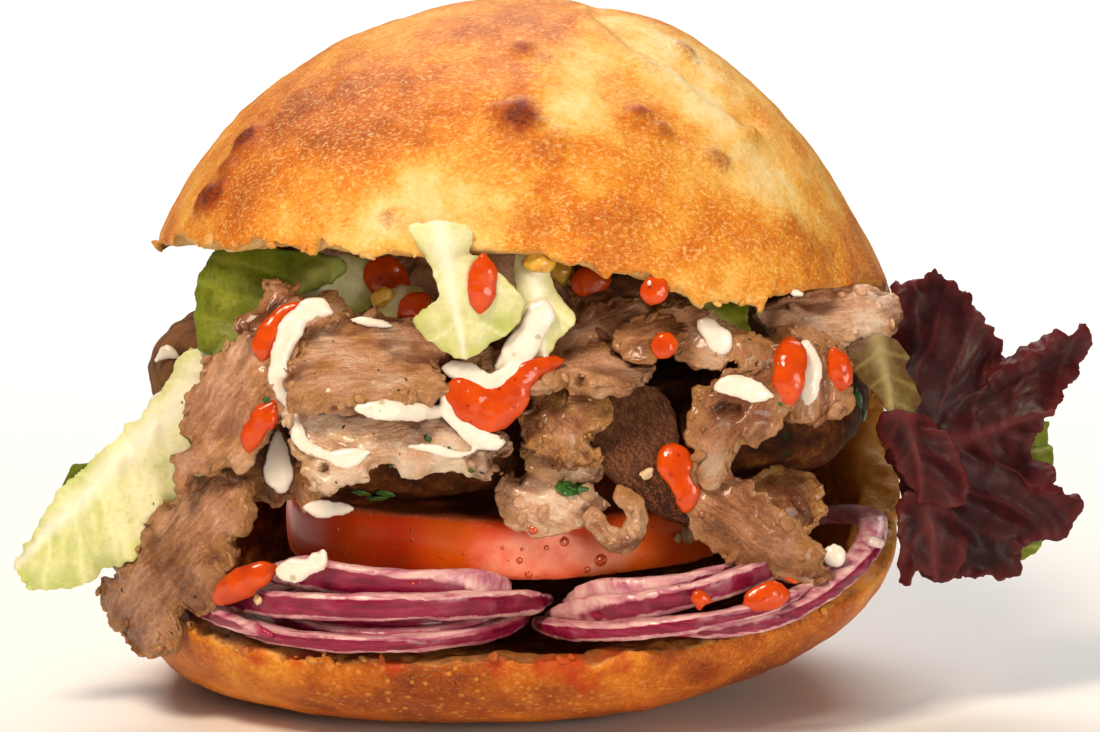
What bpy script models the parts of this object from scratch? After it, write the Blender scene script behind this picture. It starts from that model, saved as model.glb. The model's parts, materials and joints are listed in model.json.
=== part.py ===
"""Doner kebab sandwich: a slit flatbread pocket with meat slices, patties, tomato, red onion and lettuce.

The bread is one piece. It is open at the front and the left, and its top and base stay joined by an
uncut hinge round the back. The layout is in millimetres, with X to the right, Y to the back and Z up.
Pieces that face the front are laid out on a plane that leans back by LEAN: (across, up, out).
"""
import math

import bmesh
import bpy
from mathutils import Matrix, Vector, noise
from mathutils.bvhtree import BVHTree

MM = 0.001
TAU = 2 * math.pi
LEAN = math.radians(10)
VIEW_DISTANCE = 1400  # the layout is drawn as it looks from this far in front of VIEW_MIDDLE
VIEW_MIDDLE = (4.6, 58.6)
GAP = 0.4  # left between neighbouring pieces
COLLECTION = "doner_kebab_sandwich"
CUTTERS = "cutters"

# Crust profiles, (radius, height) from the middle of the base, up the side, to the middle of the top.
CRUST_RIGHT = [(0, 0), (24, 0), (42, 4.4), (57, 11), (66, 18), (70, 25), (71.5, 41), (70, 59),
               (67.4, 76), (62.6, 86.4), (55.8, 97.4), (46.8, 108.4), (36, 117.6), (24.2, 124), (12, 127.4),
               (0, 128.4)]
CRUST_BACK = [(0, 0), (44, 0), (52, 2.5), (57.5, 7), (60.5, 14), (61, 24), (57.5, 35), (61, 48),
              (60, 64), (56.5, 79), (50.5, 92), (42.4, 104), (32.6, 114), (21.5, 121.6), (10.5, 126.6),
              (0, 128.4)]
CRUST_LEFT = [(0, 0), (50, 0), (60, 1.5), (67, 5), (71, 10), (72, 18), (70, 40), (68.8, 63),
              (67.4, 83), (63, 93.4), (56, 103.6), (46, 112.6), (34.4, 119.2), (22.6, 124.2), (11, 127.4),
              (0, 128.4)]
CRUST_FRONT = [(0, 0), (36, 0), (46, 1.5), (54, 5), (59.5, 10.5), (61.5, 17), (61, 38), (59, 64),
               (56.5, 88), (54, 96), (49.2, 104), (41.6, 112), (32, 118.6), (21.4, 123.8), (10.5, 127.2),
               (0, 128.4)]
WALL = [11, 11, 10.5, 10, 9, 8, 7.5, 7, 5.5, 7.5, 10, 11.5, 12.5, 13, 13, 13]  # at each profile point
PLAN_POWER = (2.0, 2.5)  # how square the plan is to the right and to the left
LOAF_SIDES = 32
CAVITY_SIDES = 18

# The slit: turn round the loaf in degrees (0 right, 90 back, 180 left, 270 front), height of each lip.
LOWER_LIP = [(126, 40), (140, 31), (160, 25), (180, 23.5), (205, 22.5), (222, 18), (240, 17), (270, 17),
             (315, 19.5), (338, 24), (352, 31), (362, 41), (372, 50)]
UPPER_LIP = [(126, 43), (140, 62), (152, 78), (180, 83), (205, 86), (230, 89), (250, 88.5), (270, 89.5),
             (290, 85), (312, 78.5), (328, 80), (345, 77.5), (358, 73.5), (372, 53)]
SLIT_SIDES = 30
SLIT_INNER, SLIT_OUTER = 36, 92

TOMATO_RADIUS = (41, 37)
TOMATO_THICK = 11.5
TOMATO_CENTRE = (-4, -9, 32.6)
TOMATO_TILT = math.radians(-2)

RING_SIDES = 24  # for a whole ring

COLOURS = {
    "bread": ((0.78, 0.47, 0.17), 0.6),
    "tomato": ((0.68, 0.08, 0.02), 0.25),
    "onion": ((0.62, 0.22, 0.32), 0.3),
    "meat": ((0.48, 0.27, 0.16), 0.5),
    "dark_meat": ((0.14, 0.06, 0.03), 0.5),
    "iceberg": ((0.66, 0.66, 0.25), 0.4),
    "green_leaf": ((0.10, 0.17, 0.01), 0.4),
    "red_leaf": ((0.09, 0.02, 0.02), 0.4),
}


# ---------------------------------------------------------------- scene, materials and small helpers

def clear_scene():
    for obj in list(bpy.data.objects):
        bpy.data.objects.remove(obj)


def collection(name):
    made = bpy.data.collections.new(name)
    bpy.context.scene.collection.children.link(made)
    return made


def material(name):
    found = bpy.data.materials.get(name)
    if found:
        return found
    rgb, rough = COLOURS[name]
    made = bpy.data.materials.new(name)
    made.use_nodes = True
    shader = made.node_tree.nodes["Principled BSDF"]
    shader.inputs["Base Color"].default_value = (*rgb, 1)
    shader.inputs["Roughness"].default_value = rough
    made.diffuse_color = (*rgb, 1)
    return made


def mesh_object(name, points_mm, faces, finish, group):
    """An object from points in millimetres, with its normals made to point outwards."""
    mesh = bpy.data.meshes.new(name)
    mesh.from_pydata([tuple(c * MM for c in p) for p in points_mm], [], faces)
    made = bpy.data.objects.new(name, mesh)
    group.objects.link(made)
    mesh.materials.append(material(finish))
    shape = bmesh.new()
    shape.from_mesh(mesh)
    bmesh.ops.remove_doubles(shape, verts=shape.verts, dist=0.01 * MM)
    bmesh.ops.recalc_face_normals(shape, faces=shape.faces)
    shape.to_mesh(mesh)
    shape.free()
    return made


def evaluated_mesh(obj):
    graph = bpy.context.evaluated_depsgraph_get()
    graph.update()
    return bpy.data.meshes.new_from_object(obj.evaluated_get(graph))


def apply_modifiers(obj):
    old = obj.data
    obj.data = evaluated_mesh(obj)
    obj.modifiers.clear()
    bpy.data.meshes.remove(old)


def curve_through(points, steps, closed=False):
    """Points on a smooth Catmull-Rom curve through the given ones."""
    points = [Vector(p) for p in points]
    count = len(points)
    spans = count if closed else count - 1
    made = []
    for i in range(spans):
        if closed:
            a, b, c, d = (points[(i + k) % count] for k in (-1, 0, 1, 2))
        else:
            a, b, c, d = (points[min(max(i + k, 0), count - 1)] for k in (-1, 0, 1, 2))
        for k in range(steps):
            t = k / steps
            made.append(0.5 * ((2 * b) + (c - a) * t + (2 * a - 5 * b + 4 * c - d) * t ** 2
                               + (3 * b - a - 3 * c + d) * t ** 3))
    return made if closed else made + [points[-1]]


def value_at(table, at):
    """Smooth value between the rows of a (place, value) table."""
    at = min(max(at, table[0][0]), table[-1][0])
    for (p0, v0), (p1, v1) in zip(table, table[1:]):
        if at <= p1:
            t = (at - p0) / (p1 - p0)
            return v0 + (v1 - v0) * t * t * (3 - 2 * t)
    return table[-1][1]


def spread_evenly(loop, count):
    """The closed loop's points, resampled to count points an equal way apart."""
    ends = loop + [loop[0]]
    along = [0.0]
    for a, b in zip(ends, ends[1:]):
        along.append(along[-1] + (b - a).length)
    made = []
    for k in range(count):
        want = along[-1] * k / count
        i = next(j for j in range(len(along) - 1) if along[j + 1] >= want)
        t = (want - along[i]) / max(along[i + 1] - along[i], 1e-9)
        made.append(ends[i].lerp(ends[i + 1], t))
    return made


def wobble(place, size, seed):
    """Smooth noise from -1 to 1 that changes over about size millimetres."""
    return noise.noise(Vector(place) / size + Vector((seed * 7.3, seed * 3.1, seed * 5.7)))


def layout(across, up, out):
    """A point of the leaning layout plane, as X, Y and Z."""
    nearer = 1 - out / VIEW_DISTANCE
    across = VIEW_MIDDLE[0] + (across - VIEW_MIDDLE[0]) * nearer
    up = VIEW_MIDDLE[1] + (up - VIEW_MIDDLE[1]) * nearer
    return Vector((across,
                   up * math.sin(LEAN) - out * math.cos(LEAN),
                   up * math.cos(LEAN) + out * math.sin(LEAN)))


# ---------------------------------------------------------------- bread

def inset(profile, walls):
    """The profile moved inwards by the wall thickness at each point."""
    made = []
    last = len(profile) - 1
    for i, ((r, z), wall) in enumerate(zip(profile, walls)):
        if i == 0:
            made.append((0, z + wall))
        elif i == last:
            made.append((0, z - wall))
        else:
            run = Vector(profile[i + 1]) - Vector(profile[i - 1])
            inwards = Vector((-run.y, run.x)).normalized()
            made.append((max(r + inwards.x * wall, 2), z + inwards.y * wall))
    return made


def every_other(profile):
    """The profile with half as many points between its ends."""
    return [profile[0], *profile[1:-1:2], profile[-1]]


def loft(name, profiles, sides, steps, unevenness, group):
    """A closed body whose right, back, left and front profiles blend round it."""
    right, back, left, front = (curve_through(p, steps) for p in profiles)
    rows = len(right)
    points = [(0, 0, right[0].y)]
    for i in range(1, rows - 1):
        for k in range(sides):
            turn = TAU * k / sides
            c, s = math.cos(turn), math.sin(turn)
            side, deep = (right if c >= 0 else left)[i], (back if s >= 0 else front)[i]
            power = PLAN_POWER[0 if c >= 0 else 1]
            r = (abs(c / side.x) ** power + abs(s / deep.x) ** power) ** (-1 / power)
            z = side.y * c * c + deep.y * s * s
            r *= 1 + unevenness * wobble((r * c, r * s, z), 34, 1) * min(z / 12, 1)
            points.append((r * c, r * s, z))
    points.append((0, 0, right[-1].y))
    faces = [(0, 1 + (k + 1) % sides, 1 + k) for k in range(sides)]
    for i in range(rows - 3):
        a, b = 1 + i * sides, 1 + (i + 1) * sides
        faces += [(a + k, a + (k + 1) % sides, b + (k + 1) % sides, b + k) for k in range(sides)]
    top, last = len(points) - 1, 1 + (rows - 3) * sides
    faces += [(last + k, last + (k + 1) % sides, top) for k in range(sides)]
    return mesh_object(name, points, faces, "bread", group)


def slit_cutter(group):
    """The band between the two lips, which opens the loaf at the front and the left."""
    first, last = LOWER_LIP[0][0], LOWER_LIP[-1][0]
    points = []
    for k in range(SLIT_SIDES + 1):
        turn = first + (last - first) * k / SLIT_SIDES
        low, high = value_at(LOWER_LIP, turn), value_at(UPPER_LIP, turn)
        rough = 0.8 * noise.noise(Vector((turn * 0.11, 0, 0)))
        c, s = math.cos(math.radians(turn)), math.sin(math.radians(turn))
        for r, z in ((SLIT_INNER, low + 0.6), (SLIT_OUTER, low - 1.4), (SLIT_OUTER, high), (SLIT_INNER, high)):
            points.append((r * c, r * s, z + rough))
    faces = [(0, 1, 2, 3)]
    for k in range(SLIT_SIDES):
        a, b = 4 * k, 4 * k + 4
        faces += [(a + i, a + (i + 1) % 4, b + (i + 1) % 4, b + i) for i in range(4)]
    faces.append(tuple(4 * SLIT_SIDES + i for i in range(4)))
    return mesh_object("slit", points, faces, "bread", group)


def boolean(obj, other, operation):
    step = obj.modifiers.new(operation.lower(), "BOOLEAN")
    step.operation = operation
    step.object = other
    step.solver = "EXACT"
    step.use_self = True
    apply_modifiers(obj)


def bread(group, cutters):
    profiles = (CRUST_RIGHT, CRUST_BACK, CRUST_LEFT, CRUST_FRONT)
    loaf = loft("pocket_bread", profiles, LOAF_SIDES, 1, 0.04, group)
    inner = [every_other(inset(p, WALL)) for p in profiles]
    cavity = loft("cavity", inner, CAVITY_SIDES, 1, 0.04, cutters)
    slit = slit_cutter(cutters)
    boolean(loaf, cavity, "DIFFERENCE")
    boolean(loaf, slit, "DIFFERENCE")
    bpy.data.objects.remove(cavity)
    bpy.data.objects.remove(slit)
    return loaf


# ---------------------------------------------------------------- fillings

def tomato_slice(group):
    """A thick slice whose skin side narrows a little towards its lower face."""
    sides = 26
    rx, ry = TOMATO_RADIUS
    levels = [(-0.5, 0.96), (-0.36, 0.99), (0.4, 0.99), (0.5, 0.965)]
    tilt = Matrix.Rotation(TOMATO_TILT, 3, "X")
    points = []
    for height, scale in levels:
        for k in range(sides):
            turn = TAU * k / sides
            lobes = 1 + 0.02 * math.cos(5 * turn + 0.6)
            local = Vector((rx * scale * lobes * math.cos(turn), ry * scale * lobes * math.sin(turn),
                            height * TOMATO_THICK))
            points.append(tilt @ local + Vector(TOMATO_CENTRE))
    faces = [tuple(reversed(range(sides)))]
    for i in range(len(levels) - 1):
        a, b = i * sides, (i + 1) * sides
        faces += [(a + k, a + (k + 1) % sides, b + (k + 1) % sides, b + k) for k in range(sides)]
    faces.append(tuple((len(levels) - 1) * sides + k for k in range(sides)))
    return mesh_object("tomato_slice", points, faces, "tomato", group)


# name, middle x y z, half-widths, band height and thickness, rise from front to back, rise for each
# mm to the right, turn-up at the right end, and the part of the circle that is left, in degrees
RINGS = [
    ("onion_ring_1", (-26.3, -33.2, 19.6), (27.4, 27.0), 2.7, 3.0, 1.0, 0.0, 0.0, (0, 360)),
    ("onion_ring_2", (-31.0, -29.5, 19.0), (31.6, 28.2), 2.7, 2.7, 4.4, -0.08, 0.0, (140, 243)),
    ("onion_ring_3", (-23.8, -34.0, 20.2), (21.8, 22.8), 2.8, 2.6, 0.5, 0.0, 0.0, (0, 360)),
    ("onion_ring_4", (-21.4, -35.0, 21.4), (17.6, 18.0), 2.8, 2.4, 0.5, 0.0, 0.0, (170, 370)),
    ("onion_ring_5", (-24.6, -32.0, 25.0), (30.8, 26.6), 3.4, 3.0, -4.0, 0.0, 0.0, (183, 350)),
    ("onion_ring_6", (-21.5, -32.5, 27.2), (26.2, 22.2), 3.8, 2.8, -2.0, -0.07, 0.0, (192, 318)),
    ("onion_ring_7", (34.0, -26.5, 20.9), (31.8, 32.6), 2.9, 4.6, 7.0, 0.0, 10.5, (253, 438)),
    ("onion_ring_8", (29.5, -33.0, 23.7), (28.4, 28.2), 2.8, 2.9, 0.0, 0.17, 0.0, (190, 400)),
    ("onion_ring_9", (27.5, -33.5, 24.3), (24.2, 23.6), 2.7, 2.6, 0.0, 0.15, 0.0, (190, 395)),
    ("onion_ring_10", (25.6, -34.0, 25.3), (20.2, 20.0), 2.5, 2.4, -1.5, 0.12, 0.0, (200, 375)),
]


def onion_ring(row, group):
    """One ring of a cut onion, or a part of one, bent by the lip of the bread it lies on."""
    name, (cx, cy, cz), (rx, ry), high, thick, back, tilt, turn_up, (first, last) = row
    whole = last - first == 360
    steps = round(RING_SIDES * (last - first) / 360)
    seed = len(name) + cx
    points = []
    for k in range(steps if whole else steps + 1):
        turn = math.radians(first + (last - first) * k / steps)
        c, s = math.cos(turn), math.sin(turn)
        uneven = 1 + 0.02 * wobble((c * 20, s * 20, 0), 16, seed)
        taper = 1 if whole else min(1, 0.45 + 0.9 * min(k, steps - k) / 2)
        for inwards, level in ((0, -0.48), (0, 0.48), (1, 0.44), (1, -0.5)):
            x = cx + (rx - inwards * thick) * c * uneven
            y = cy + (ry - inwards * thick) * s * uneven
            lift = back * (1 + s) / 2 + tilt * (x - cx) + turn_up * ((1 + c) / 2) ** 4
            points.append((x, y, cz + lift + 0.4 * wobble((x, y, 0), 25, seed) + level * high * taper))
    total = len(points)
    faces = [(k + i, k + (i + 1) % 4, (k + 4 + (i + 1) % 4) % total, (k + 4 + i) % total)
             for k in range(0, total if whole else total - 4, 4) for i in range(4)]
    if not whole:
        faces += [(0, 1, 2, 3), tuple(range(total - 4, total))]
    return mesh_object(name, points, faces, "onion", group)


def lump(name, centre, half, finish, group, rough=0.12, seed=1, segments=14, rings=8, below=1.0):
    """A hand-shaped rounded body, such as a patty. below flattens its lower half."""
    shape = bmesh.new()
    bmesh.ops.create_uvsphere(shape, u_segments=segments, v_segments=rings, radius=1)
    for v in shape.verts:
        p = v.co.normalized()
        flat = Vector([math.copysign(abs(c) ** 0.85, c) for c in p])
        p = flat * (1 + rough * wobble(p * 10, 8, seed))
        p.z *= below if p.z < 0 else 1
        v.co = Vector((centre[k] + half[k] * p[k] for k in range(3))) * MM
    mesh = bpy.data.meshes.new(name)
    shape.to_mesh(mesh)
    shape.free()
    mesh.materials.append(material(finish))
    made = bpy.data.objects.new(name, mesh)
    group.objects.link(made)
    return made


def slab(name, finish, outline, out, group, back=0.0, side=0.0, bulge=0.0, thick=3.0, ruffle=(0, 0),
         wave=0.0, circles=2, sides=14, roll=0.0, pivot=None):
    """A slice or a leaf from its outline, (across, up).

    back is how far it leans away for each mm up, side how far it comes forward for each mm to the
    right, bulge how far its middle stands out, ruffle the height and count of the folds at its edge,
    wave the height of its slow waves, and roll how far its left and right edges turn back. The folds
    spread from pivot, which is the middle of the outline if it isn't given.
    """
    loop = spread_evenly([Vector((p.x, p.y, 0)) for p in
                          curve_through([(*p, 0) for p in outline], 6, closed=True)], sides)
    centre = Vector((*pivot, 0)) if pivot else sum(loop, Vector()) / len(loop)
    reach = max((p - centre).length for p in loop)
    points = [centre.copy()]
    for i in range(1, circles + 1):
        points += [centre.lerp(p, i / circles) for p in loop]
    placed = []
    for n, p in enumerate(points):
        d = p - centre
        share = 0 if n == 0 else ((n - 1) // sides + 1) / circles
        turn = 0 if n == 0 else TAU * ((n - 1) % sides) / sides
        depth = (out - back * d.y + side * d.x + bulge * (1 - share ** 2) - roll * (d.x / reach) ** 2
                 + ruffle[0] * share ** 2 * math.sin(ruffle[1] * turn)
                 + wave * wobble((p.x, p.y, 0), 9, len(name) + out))
        placed.append(layout(p.x, p.y, depth))
    faces = [(0, 1 + k, 1 + (k + 1) % sides) for k in range(sides)]
    for i in range(circles - 1):
        a, b = 1 + i * sides, 1 + (i + 1) * sides
        faces += [(a + k, b + k, b + (k + 1) % sides, a + (k + 1) % sides) for k in range(sides)]
    return thicken(mesh_object(name, placed, faces, finish, group), thick)


def strip(name, finish, spine, widths, group, cup=0.0, thick=1.2, ruffle=(0, 0), across=4, steps=2):
    """A long leaf or sliver. Its spine points are (across, up, out), with a half-width at each."""
    line = curve_through(spine, steps)
    wide = [v.x for v in curve_through([(w, 0, 0) for w in widths], steps)]
    placed = []
    for i, (p, w) in enumerate(zip(line, wide)):
        run = (line[min(i + 1, len(line) - 1)] - line[max(i - 1, 0)]).normalized()
        sideways = Vector((run.y, -run.x, 0)).normalized()
        for k in range(across + 1):
            t = 2 * k / across - 1
            q = p + sideways * w * t
            q.z += cup * (1 - t * t) + ruffle[0] * t * math.sin(ruffle[1] * i)
            placed.append(layout(*q))
    row = across + 1
    faces = [(row * i + k, row * i + k + 1, row * (i + 1) + k + 1, row * (i + 1) + k)
             for i in range(len(line) - 1) for k in range(across)]
    return thicken(mesh_object(name, placed, faces, finish, group), thick)


def thicken(obj, thick):
    """Gives an open sheet its thickness."""
    step = obj.modifiers.new("thickness", "SOLIDIFY")
    step.thickness = thick * MM
    step.offset = 0
    apply_modifiers(obj)
    return obj


def curl(name, finish, spine, radius, group):
    """A rolled sliver of meat: a tube that thins at its ends."""
    line = curve_through(spine, 2)
    data = bpy.data.curves.new(name, "CURVE")
    data.dimensions = "3D"
    data.bevel_depth = radius * MM
    data.bevel_resolution = 1
    data.use_fill_caps = True
    path = data.splines.new("POLY")
    path.points.add(len(line) - 1)
    for i, (point, p) in enumerate(zip(path.points, line)):
        point.co = (*(layout(*p) * MM), 1)
        point.radius = 0.55 + 0.45 * math.sin(math.pi * (i + 0.5) / len(line))
    guide = bpy.data.objects.new(name + "_path", data)
    group.objects.link(guide)
    mesh = evaluated_mesh(guide)
    shape = bmesh.new()
    shape.from_mesh(mesh)
    bmesh.ops.remove_doubles(shape, verts=shape.verts, dist=0.01 * MM)
    bmesh.ops.recalc_face_normals(shape, faces=shape.faces)
    shape.to_mesh(mesh)
    shape.free()
    mesh.materials.clear()
    mesh.materials.append(material(finish))
    bpy.data.objects.remove(guide)
    made = bpy.data.objects.new(name, mesh)
    group.objects.link(made)
    return made


# Pale slices of roast meat, front ones first: name, outline, out, and how the slice lies.
MEAT_SLICES = [
    ("doner_slice_front_top",
     [(-44.4, 56.5), (-42.2, 61.5), (-36, 67.6), (-27.4, 66), (-20, 65), (-14, 60), (-13.7, 55.5),
      (-20.3, 52.6), (-32.8, 51), (-43, 52.6)],
     60, dict(back=0.95, bulge=0.8, thick=3.4, sides=16)),
    ("doner_slice_front_low",
     [(-42.5, 51.5), (-32, 50.4), (-21, 50.6), (-15.5, 51), (-8, 47.4), (-3.5, 42), (-8, 38.2),
      (-19.6, 39.8), (-30.5, 39.2), (-39, 35.4), (-43.2, 44)],
     61.5, dict(back=0.3, bulge=1.5, thick=3.0, sides=16)),
    ("doner_slice_left",
     [(-57.4, 57.6), (-50.9, 62.6), (-44.8, 66.9), (-43.5, 60), (-44.8, 52.4), (-49, 45), (-53.5, 39),
      (-63.9, 37.6), (-64.2, 43), (-62, 50.6)],
     55, dict(back=0.1, side=0.5, bulge=1.5, thick=3.6)),
    ("doner_slice_low_left",
     [(-62, 37.8), (-53.1, 38), (-51.8, 33), (-53.7, 26), (-59.2, 16), (-65.7, 8.5), (-70.4, 6.4),
      (-76.5, 13.6), (-75.8, 20), (-71, 27), (-67, 33)],
     42.6, dict(back=0.05, side=0.95, bulge=2.2, thick=3.8, wave=1.2, sides=16)),
    ("doner_slice_back_left",
     [(-51, 71), (-48.7, 76.1), (-43.5, 75), (-36, 71), (-33, 66.5), (-41, 62), (-46, 58.5),
      (-50, 59), (-52.2, 64)],
     51, dict(back=0.4, bulge=1.2, thick=2.6)),
    ("doner_slice_centre",
     [(-11, 57.5), (-4, 58.5), (5, 59.5), (12.8, 61.8), (18.2, 61), (23.7, 59.4), (22.5, 56),
      (17, 53.8), (6, 55), (-6, 54.8)],
     59.5, dict(back=1.3, bulge=0.8, thick=3.2)),
    ("doner_slice_centre_right",
     [(17, 63.7), (21.1, 66.5), (26, 67), (30.5, 65), (28, 61.5), (23, 59.4), (18, 60.2)],
     57.5, dict(back=0.7, bulge=0.8, thick=2.6, sides=12)),
    ("doner_slice_centre_back",
     [(4.4, 62), (9.8, 67), (15, 69.6), (22, 71), (25, 68), (20, 64.5), (10, 60.4)],
     50, dict(back=0.8, bulge=1.2, thick=2.8, sides=12)),
    ("doner_slice_upper_right",
     [(6, 72), (14, 76), (23, 77), (30, 73), (26, 70), (14, 68)],
     41.5, dict(back=0.7, bulge=1.0, thick=2.6, sides=12)),
    ("doner_slice_fold",
     [(24, 69.8), (29.5, 71.5), (32.6, 67.6), (39, 64), (46, 61), (48, 58), (40.8, 59.4), (31, 60.4),
      (27.4, 64)],
     53.5, dict(back=0.5, bulge=1.0, thick=2.6)),
    ("doner_slice_right",
     [(32.5, 54.8), (39, 57.4), (47, 57.4), (49.5, 51), (45, 46.4), (40.6, 43.6), (39, 39.6),
      (34, 37.4), (30.6, 41), (31.2, 48)],
     57.5, dict(back=0.15, bulge=1.8, thick=3.0, wave=1.0, sides=16)),
    ("doner_slice_right_top",
     [(46, 64), (53.2, 64), (58, 62), (60.5, 58.5), (57, 55), (60, 52), (54, 50), (47.5, 50), (45.6, 57)],
     50.4, dict(back=0.3, side=-0.25, bulge=1.2, thick=3.0)),
    ("doner_slice_far_right",
     [(43, 68.4), (50, 70.8), (58, 72.6), (66, 72), (70, 69.4), (69.8, 65.8), (65.6, 62.8), (58, 61),
      (49, 62.8)],
     41, dict(back=0.4, side=-0.42, bulge=1.2, thick=3.2)),
    ("doner_chunk_browned",
     [(2.6, 52), (5, 53), (6.6, 50.8), (11.7, 50.6), (14.4, 46), (12.4, 41.6), (8.5, 40), (4, 41.6),
      (1.2, 46)],
     58, dict(back=0.2, bulge=1.2, thick=5.0)),
    ("doner_chunk_pale",
     [(0.6, 42), (3.4, 43.4), (8.5, 40.6), (13.6, 39.4), (12, 37.2), (6, 38.2), (1.4, 40)],
     54, dict(back=0.3, bulge=0.6, thick=3.6, sides=12)),
    ("doner_chunk_low",
     [(-3.8, 38), (0.2, 38.2), (5, 35.6), (10, 34.6), (14, 33), (13.4, 30.2), (5, 29.4), (-1, 30.4),
      (-4.2, 34.6)],
     54, dict(back=0.2, bulge=1.4, thick=5.4)),
    ("doner_slice_low_right",
     [(31.3, 36), (40.6, 36.5), (45, 31.5), (49, 27.6), (54, 24), (57.6, 19), (50.5, 20.6), (43, 22.2),
      (35, 25.6), (30.6, 31)],
     55.5, dict(back=-0.1, side=-0.1, bulge=1.6, thick=3.2)),
    ("doner_chunk_crisp",
     [(43.5, 35), (47, 37.6), (51, 37.6), (53.6, 34.6), (52.4, 30), (49, 27.6), (45.4, 31)],
     49, dict(back=0.2, bulge=1.6, thick=4.4, sides=12)),
    ("doner_slice_inner_left",
     [(-54.2, 45), (-48.7, 45.4), (-41, 39), (-37, 36), (-39, 33.4), (-45.3, 32), (-51.8, 33.4),
      (-55, 39)],
     49, dict(back=0.1, bulge=1.2, thick=3.6, sides=12)),
]
DARK_SLICE = ("beef_slice_dark",
              [(9.7, 52), (14.8, 54.6), (21.1, 55), (27, 52.4), (28, 45), (29, 38.6), (31, 32), (30.4, 28.4),
               (26, 30), (19, 34.6), (13.5, 40), (12, 47)],
              52.5, dict(back=0.3, bulge=1.2, thick=4.6, sides=16))

LEAVES = [
    ("romaine_leaf_left", "green_leaf",
     [(-57.8, 80.6), (-48.7, 80.6), (-36, 79.4), (-34, 75), (-44, 72.4), (-50.5, 68), (-52.8, 62),
      (-57.4, 60.4), (-60.8, 61.3), (-61.4, 68), (-61, 75)],
     41, dict(back=0.1, side=0.35, bulge=1.5, thick=1.2, ruffle=(1.0, 3), sides=16, pivot=(-56, 66))),
    ("green_leaf_tip", "green_leaf",
     [(-85.7, 35.6), (-85, 39.6), (-81, 41.2), (-75, 41.2), (-66, 46), (-60, 47.5), (-59, 43), (-66, 38),
      (-74, 34.4), (-81, 33.4)],
     27, dict(side=0.2, thick=1.2, ruffle=(0.8, 3))),
    ("green_leaf_right", "green_leaf",
     [(30.6, 73), (38.9, 74), (42, 71), (41, 68), (42.6, 64), (40, 62.6), (36, 65), (32, 67.6)],
     49, dict(back=0.3, thick=1.2, ruffle=(1.2, 3), sides=12)),
    ("green_leaf_behind", "green_leaf",
     [(78, 42), (88, 46.6), (96.3, 49), (98.6, 46.6), (97.4, 43), (99, 39), (96, 37.6), (88, 35.6),
      (79, 35)],
     20, dict(thick=1.2, ruffle=(1.0, 4), pivot=(82, 39))),
    ("green_leaf_under", "green_leaf",
     [(79, 31), (89, 31), (96.5, 27.4), (95.4, 24), (91, 22.2), (83, 23.4)],
     20, dict(thick=1.2, ruffle=(0.8, 3), sides=12)),
    ("iceberg_centre", "iceberg",
     [(-22, 85), (-14.2, 84.8), (-9.8, 84.2), (-8.6, 78.5), (-3.6, 75), (0.4, 69.8), (-3, 65), (-7.2, 62.6),
      (-9.4, 60), (-15, 61), (-21.3, 67), (-16.8, 69), (-15.8, 72.6), (-18.4, 78.4)],
     68.6, dict(back=-0.22, bulge=0.6, thick=1.3, ruffle=(0.9, 4), sides=22, pivot=(-12, 73))),
    ("iceberg_beside", "iceberg",
     [(-1.6, 79.4), (4, 78.6), (5, 72.8), (9.6, 66.8), (6.4, 64), (3.7, 59.4), (-1, 57), (-5, 59),
      (-2.4, 64), (-1.4, 70)],
     62.6, dict(back=-0.05, bulge=1.4, thick=1.3, ruffle=(0.8, 3), sides=16)),
    ("iceberg_inner_left", "iceberg",
     [(-50, 73), (-42, 77.6), (-30.5, 79), (-26, 73), (-32, 68), (-43, 69.6)],
     42.5, dict(back=0.35, bulge=1.0, thick=1.3, ruffle=(0.9, 3), sides=12)),
    ("iceberg_inner_centre", "iceberg",
     [(-27.8, 70.6), (-22, 73.4), (-17.4, 71), (-17.6, 66), (-24, 65)],
     50, dict(back=0.4, bulge=1.2, thick=1.3, sides=10)),
    ("red_lettuce_curl", "red_leaf",
     [(60, 62), (66, 64), (70.6, 62.6), (71, 57.4), (73.4, 54.6), (73, 50.4), (68.9, 48.8), (65.4, 53),
      (61.6, 57)],
     43, dict(back=0.1, side=-0.2, bulge=0.5, thick=1.2, roll=3.0)),
    ("red_lettuce_lobe", "red_leaf",
     [(66.4, 50), (75, 49), (77.6, 45.4), (78.6, 47.4), (80, 43), (81.8, 39.4), (83.4, 35.6), (80.6, 33),
      (76.4, 32), (72.6, 34.4), (69, 39.5), (66.4, 45)],
     43, dict(side=-0.1, bulge=1.6, thick=1.2, ruffle=(1.3, 4), sides=18, pivot=(70, 46))),
    ("red_lettuce_low", "red_leaf",
     [(71.4, 35), (77.8, 32), (82, 26), (81, 19.6), (75.4, 18.8), (72.4, 21), (71.6, 16.6), (69.4, 18),
      (69.8, 24), (69.6, 30)],
     37, dict(side=-0.1, bulge=1.0, thick=1.2, ruffle=(1.4, 4), sides=16, pivot=(73, 31))),
]
RED_LEAF = ("red_lettuce_leaf", "red_leaf",
            [(69, 75), (71, 76.6), (73, 74.2), (76.2, 76.8), (78.4, 74.6), (81, 70.8), (85.8, 69),
             (87.6, 64.4), (89.8, 60), (93.8, 61.8), (98.6, 64.8), (103, 63.8), (106, 66), (104.6, 60),
             (101, 54), (96.4, 48.4), (94.4, 45.2), (96.8, 38.4), (98.8, 35.2), (104.4, 33.6),
             (104, 31.2), (101, 27.8), (96.6, 26.6), (92.4, 24.6), (91.6, 19), (87, 18.6), (81.6, 19.4),
             (77.6, 18.8), (73.6, 20.4), (71, 28), (69.4, 38), (68.4, 48), (67.8, 58), (68.4, 67)],
            29, dict(back=0.05, side=-0.15, bulge=2.0, thick=1.3, ruffle=(2.6, 9), wave=2.4, circles=4,
                     sides=38, pivot=(73, 46)))
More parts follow.
